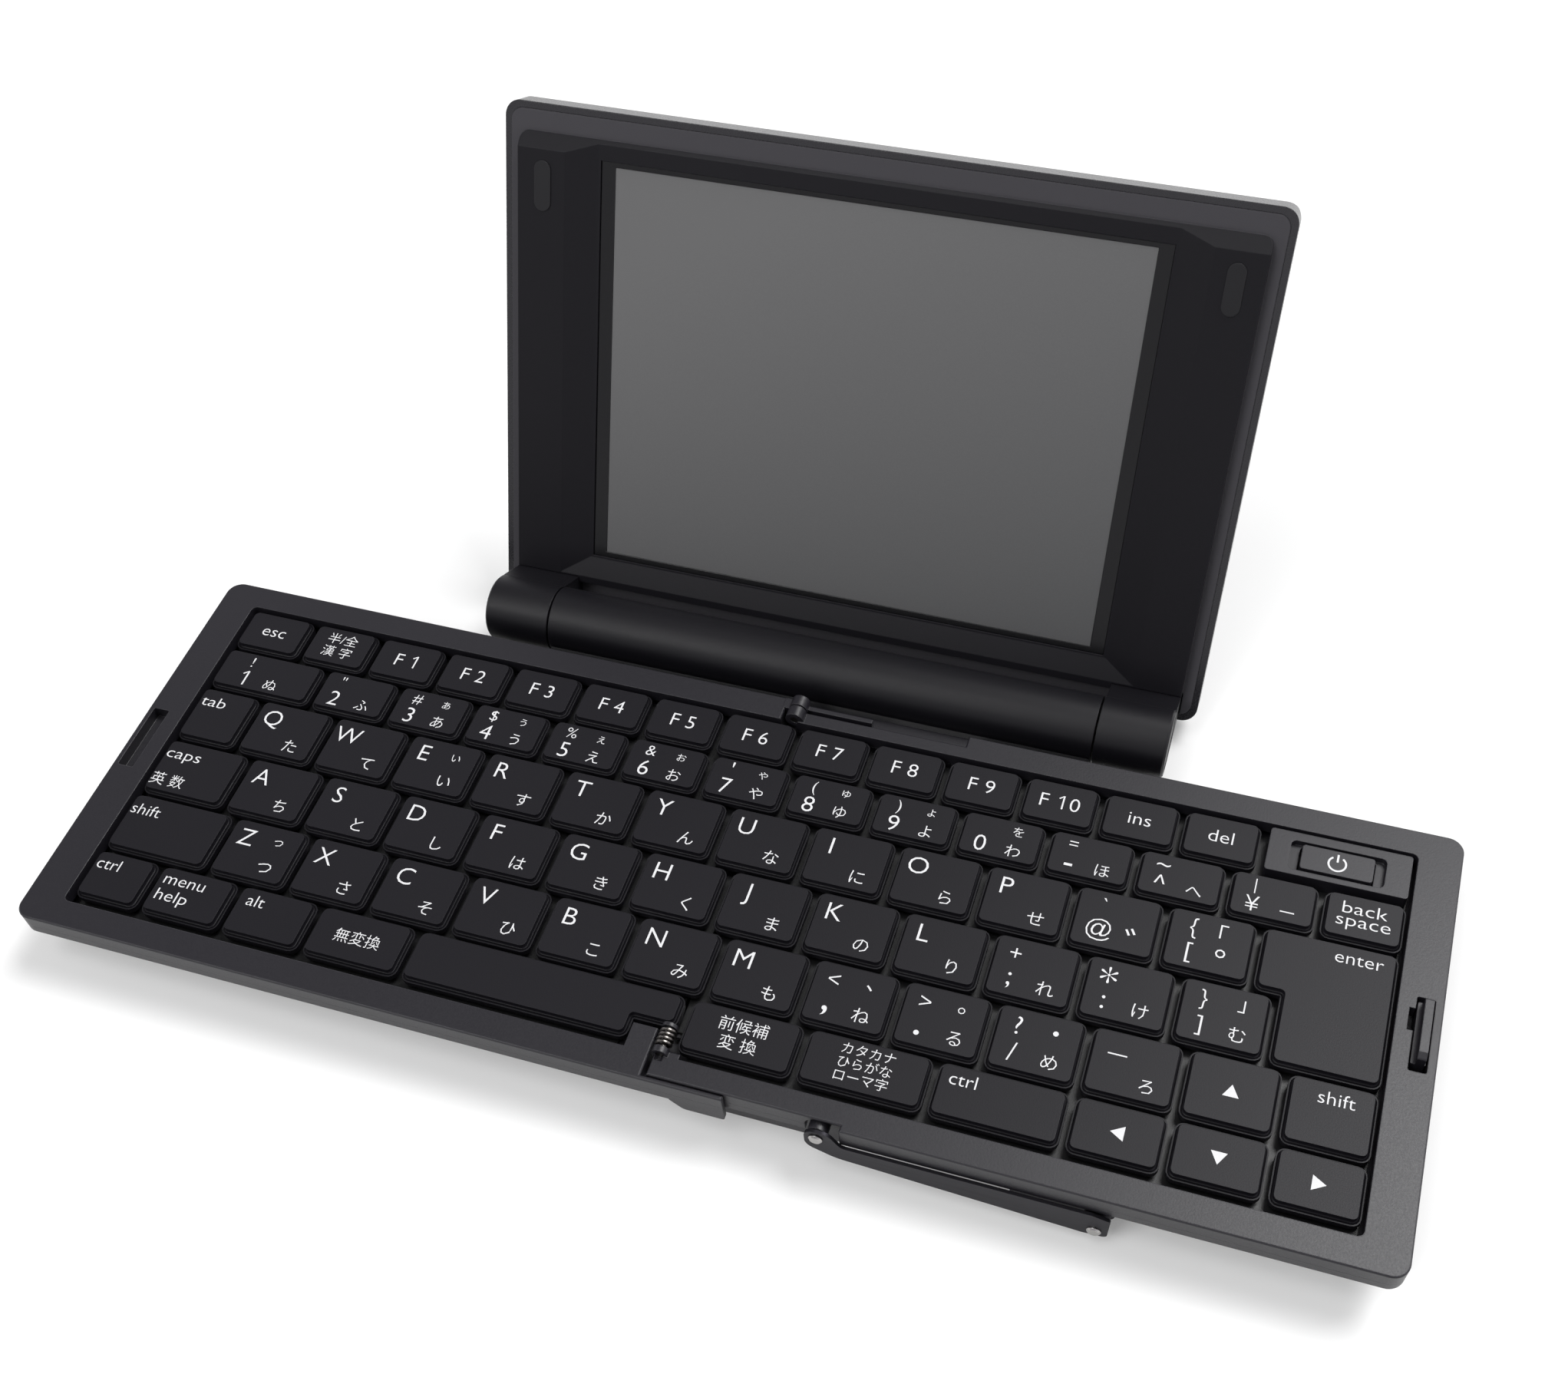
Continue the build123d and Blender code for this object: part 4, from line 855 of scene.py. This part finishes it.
def addWord(target, text, height, x, y, align):
    # adds one word to a bmesh; Latin stands on its baseline, the rest hangs on its middle
    curve = bpy.data.curves.new("word", "FONT")
    latin = all(ord(c) < legendSettings["latinEnd"] for c in text)
    curve.body = text.replace("1", flaggedOne)
    scale, middle = markForms.get(text, (1.0, 0))
    curve.size = scale * height * mm / legendSettings["capHeight" if latin else "kanaHeight"]
    curve.resolution_u = 3 if latin else 2
    curve.extrude = legendSettings["thickness"] / 2 * mm
    curve.offset = legendSettings["latinWeight" if latin else "kanaWeight"] * mm * height
    holder = bpy.data.objects.new("word", curve)
    scene.collection.objects.link(holder)
    bpy.context.view_layer.update()
    flat = bpy.data.meshes.new_from_object(holder.evaluated_get(bpy.context.evaluated_depsgraph_get()))
    if len(text) > 2 and text.isascii() and text.islower():
        stretch = legendSettings["wideWords"].get(text, legendSettings["wordStretch"])
        flat.transform(Matrix.Diagonal((stretch, 1, 1, 1)))
    xs, ys = [v.co.x for v in flat.vertices], [v.co.y for v in flat.vertices]
    anchorX = {"left": min(xs), "right": max(xs), "centre": (min(xs) + max(xs)) / 2}[align]
    anchorY = 0 if latin and not middle else (min(ys) + max(ys)) / 2 - middle * height * mm
    level = keySettings["top"] + legendSettings["standsProud"] - legendSettings["thickness"] / 2
    flat.transform(Matrix.Translation((x * mm - anchorX, (y - foldBack) * mm - anchorY, level * mm)))
    target.from_mesh(flat)
    bpy.data.objects.remove(holder)
    bpy.data.curves.remove(curve)
    bpy.data.meshes.remove(flat)


def printLegends(name, node, items):
    # items are (words of one key, cap's left, right and back)
    target = bmesh.new()
    for keyWords, left, right, back in items:
        for text, x, y, height, align in keyWords:
            if x is None:
                place = (left + right) / 2
            elif align == "right":
                place = right - x
            else:
                place = left + x
            addWord(target, text, height, place, back - y, align)
    mesh = bpy.data.meshes.new(name)
    target.to_mesh(mesh)
    target.free()
    finishedObject(name, mesh, inkMaterial, bodyOf(node))


for (side, row), rowWords in legends.items():
    items = [(keyWords, rect[0][0], rect[1][0], rect[2][1])
             for keyWords, rect in zip(rowWords, keyRects[side, row])]
    printLegends(side + row.capitalize() + "Legends", side + "_" + rowNodes[row], items)
enterItem = ([legendSettings["enter"]], 0, edge - halfGap, rowDepths["upper"][1])
printLegends("enterLegend", "enter_key", [enterItem])
print("legends are printed")

# the display: half width, foot and head up the lid, and levels out of the lid, all from the hinge in mm
displaySettings = {
    "glass": (53.7, 10.6, 89.0),
    "screen": (50.8, 11.82, 88.02),
    "back": -12.0,
    "face": -11.2,
    "paneFace": -11.32,
    "overlap": 0.1,  # of the pane behind the border
    "edge": 0.12,
    "edgeSteps": 2,
    "paintedShadeWay": (-0.6, 0.0, 1.2),  # painted shading: the way in which the pane is painted lighter, towards its upper left
    "paintedShadeRange": (-0.04, 0.13),
    "tones": ((0.075, 0.076, 0.079), (0.146, 0.146, 0.148)),
    "weave": 3500.0,  # how fine the front polariser's weave is
    "weaveShare": 0.25,
    "weaveDepth": 0.004,
    "weaveStrength": 0.25,
    "roughness": 0.38,
    "shine": 0.35,
}


def onLid(x, up, out):
    return (Vector(lidSettings["hinge"]) + Vector((x, 0, 0)) + up * lidUp + out * lidOut) * mm


def lidRectangle(half, low, high, out):
    return [onLid(-half, low, out), onLid(half, low, out), onLid(half, high, out), onLid(-half, high, out)]


glass, screen = displaySettings["glass"], displaySettings["screen"]
faceOut, backOut = displaySettings["face"], displaySettings["back"]
borderLoops = [lidRectangle(*glass, backOut), lidRectangle(*glass, faceOut),
               lidRectangle(*screen, faceOut), lidRectangle(*screen, backOut)]
border = finishedObject("screenBorder", closedMesh("screenBorder", borderLoops, True), finishes["border"],
                        "lid")
softEdge = border.modifiers.new("softEdge", "BEVEL")
softEdge.width = displaySettings["edge"] * mm
softEdge.segments = displaySettings["edgeSteps"]
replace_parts(border, "display_window")

paneMaterial, paneNodes, paneLinks = newMaterial("liquidCrystal")
pane, paneOut, panePlace, paneShadeWay = shaders(paneNodes, "BsdfPrincipled", "OutputMaterial", "TexCoord",
                                             "VectorMath")
paneShadeRamp, paneShare, paneBump = shaders(paneNodes, "MapRange", "Math", "Bump")
weave = noise(paneNodes, paneLinks, panePlace.outputs["Object"], displaySettings["weave"])
paneShadeWay.operation, paneShare.operation = "DOT_PRODUCT", "MULTIPLY_ADD"
paneShadeWay.inputs[1].default_value = displaySettings["paintedShadeWay"]
paneShare.inputs[1].default_value = displaySettings["weaveShare"]
shadeStart, shadeEnd = displaySettings["paintedShadeRange"]
setInputs(paneShadeRamp, {"From Min": shadeStart, "From Max": shadeEnd})
setInputs(pane, {"Roughness": displaySettings["roughness"],
                 "Specular IOR Level": displaySettings["shine"]})
setInputs(paneBump, {"Strength": displaySettings["weaveStrength"],
                     "Distance": displaySettings["weaveDepth"] * mm})
# painted shading: the pane's tone runs from dark at its lower right to light at its upper left, with the
# polariser's weave mixed in
paneTone = blendTones(paneNodes, paneLinks, paneShare.outputs[0], *displaySettings["tones"])
join(paneLinks,
     (panePlace.outputs["Object"], paneShadeWay.inputs[0]),
     (paneShadeWay.outputs["Value"], paneShadeRamp.inputs["Value"]),
     (weave, paneShare.inputs[0]), (paneShadeRamp.outputs["Result"], paneShare.inputs[2]),
     (paneTone, pane.inputs["Base Color"]), (weave, paneBump.inputs["Height"]),
     (paneBump.outputs[0], pane.inputs["Normal"]), (pane.outputs[0], paneOut.inputs["Surface"]))
overlap = displaySettings["overlap"]
inner = (screen[0] + overlap, screen[1] - overlap, screen[2] + overlap)
paneLoops = [lidRectangle(*inner, backOut), lidRectangle(*inner, displaySettings["paneFace"])]
finishedObject("screenPane", closedMesh("screenPane", paneLoops, False), paneMaterial, "lid")
print("the display is in")

# the sign on the power button: a ring with an opening at the back and a bar in it
signSettings = {
    "centre": (103.9, 17.05),
    "level": 14.6,
    "sunk": 0.02,
    "outer": 1.72,
    "stroke": 0.36,
    "opening": 34,  # degrees each side of straight back
    "barStart": 0.35,
    "barReach": 2.05,
    "steps": 28,
}


def raisedStrip(target, left, right, low, high):
    # a thin closed strip between two rows of points in plan
    outline = [*left, *reversed(right)]
    under, over = [[target.verts.new((x * mm, (y - foldBack) * mm, level * mm)) for x, y in outline]
                   for level in (low, high)]
    target.faces.new(under)
    target.faces.new(over)
    for i in range(len(outline)):
        j = (i + 1) % len(outline)
        target.faces.new((under[i], under[j], over[j], over[i]))


signX, signY = signSettings["centre"]
opening, outer, stroke = (signSettings[k] for k in ("opening", "outer", "stroke"))
turns = [radians(90 + opening + (360 - 2 * opening) * k / signSettings["steps"])
         for k in range(signSettings["steps"] + 1)]
inside, outside = [[(signX + radius * cos(turn), signY + radius * sin(turn)) for turn in turns]
                   for radius in (outer - stroke, outer)]
barLow, barHigh = signY + signSettings["barStart"], signY + signSettings["barReach"]
barLeft, barRight = [[(x, barLow), (x, barHigh)] for x in (signX - stroke / 2, signX + stroke / 2)]
low = signSettings["level"] - signSettings["sunk"]
high = signSettings["level"] + legendSettings["standsProud"]
sign = bmesh.new()
raisedStrip(sign, inside, outside, low, high)
raisedStrip(sign, barLeft, barRight, low, high)
bmesh.ops.recalc_face_normals(sign, faces=sign.faces)
signMesh = bpy.data.meshes.new("powerSign")
sign.to_mesh(signMesh)
sign.free()
finishedObject("powerSign", signMesh, inkMaterial, bodyOf("power_button"))
print("power sign is on its button")
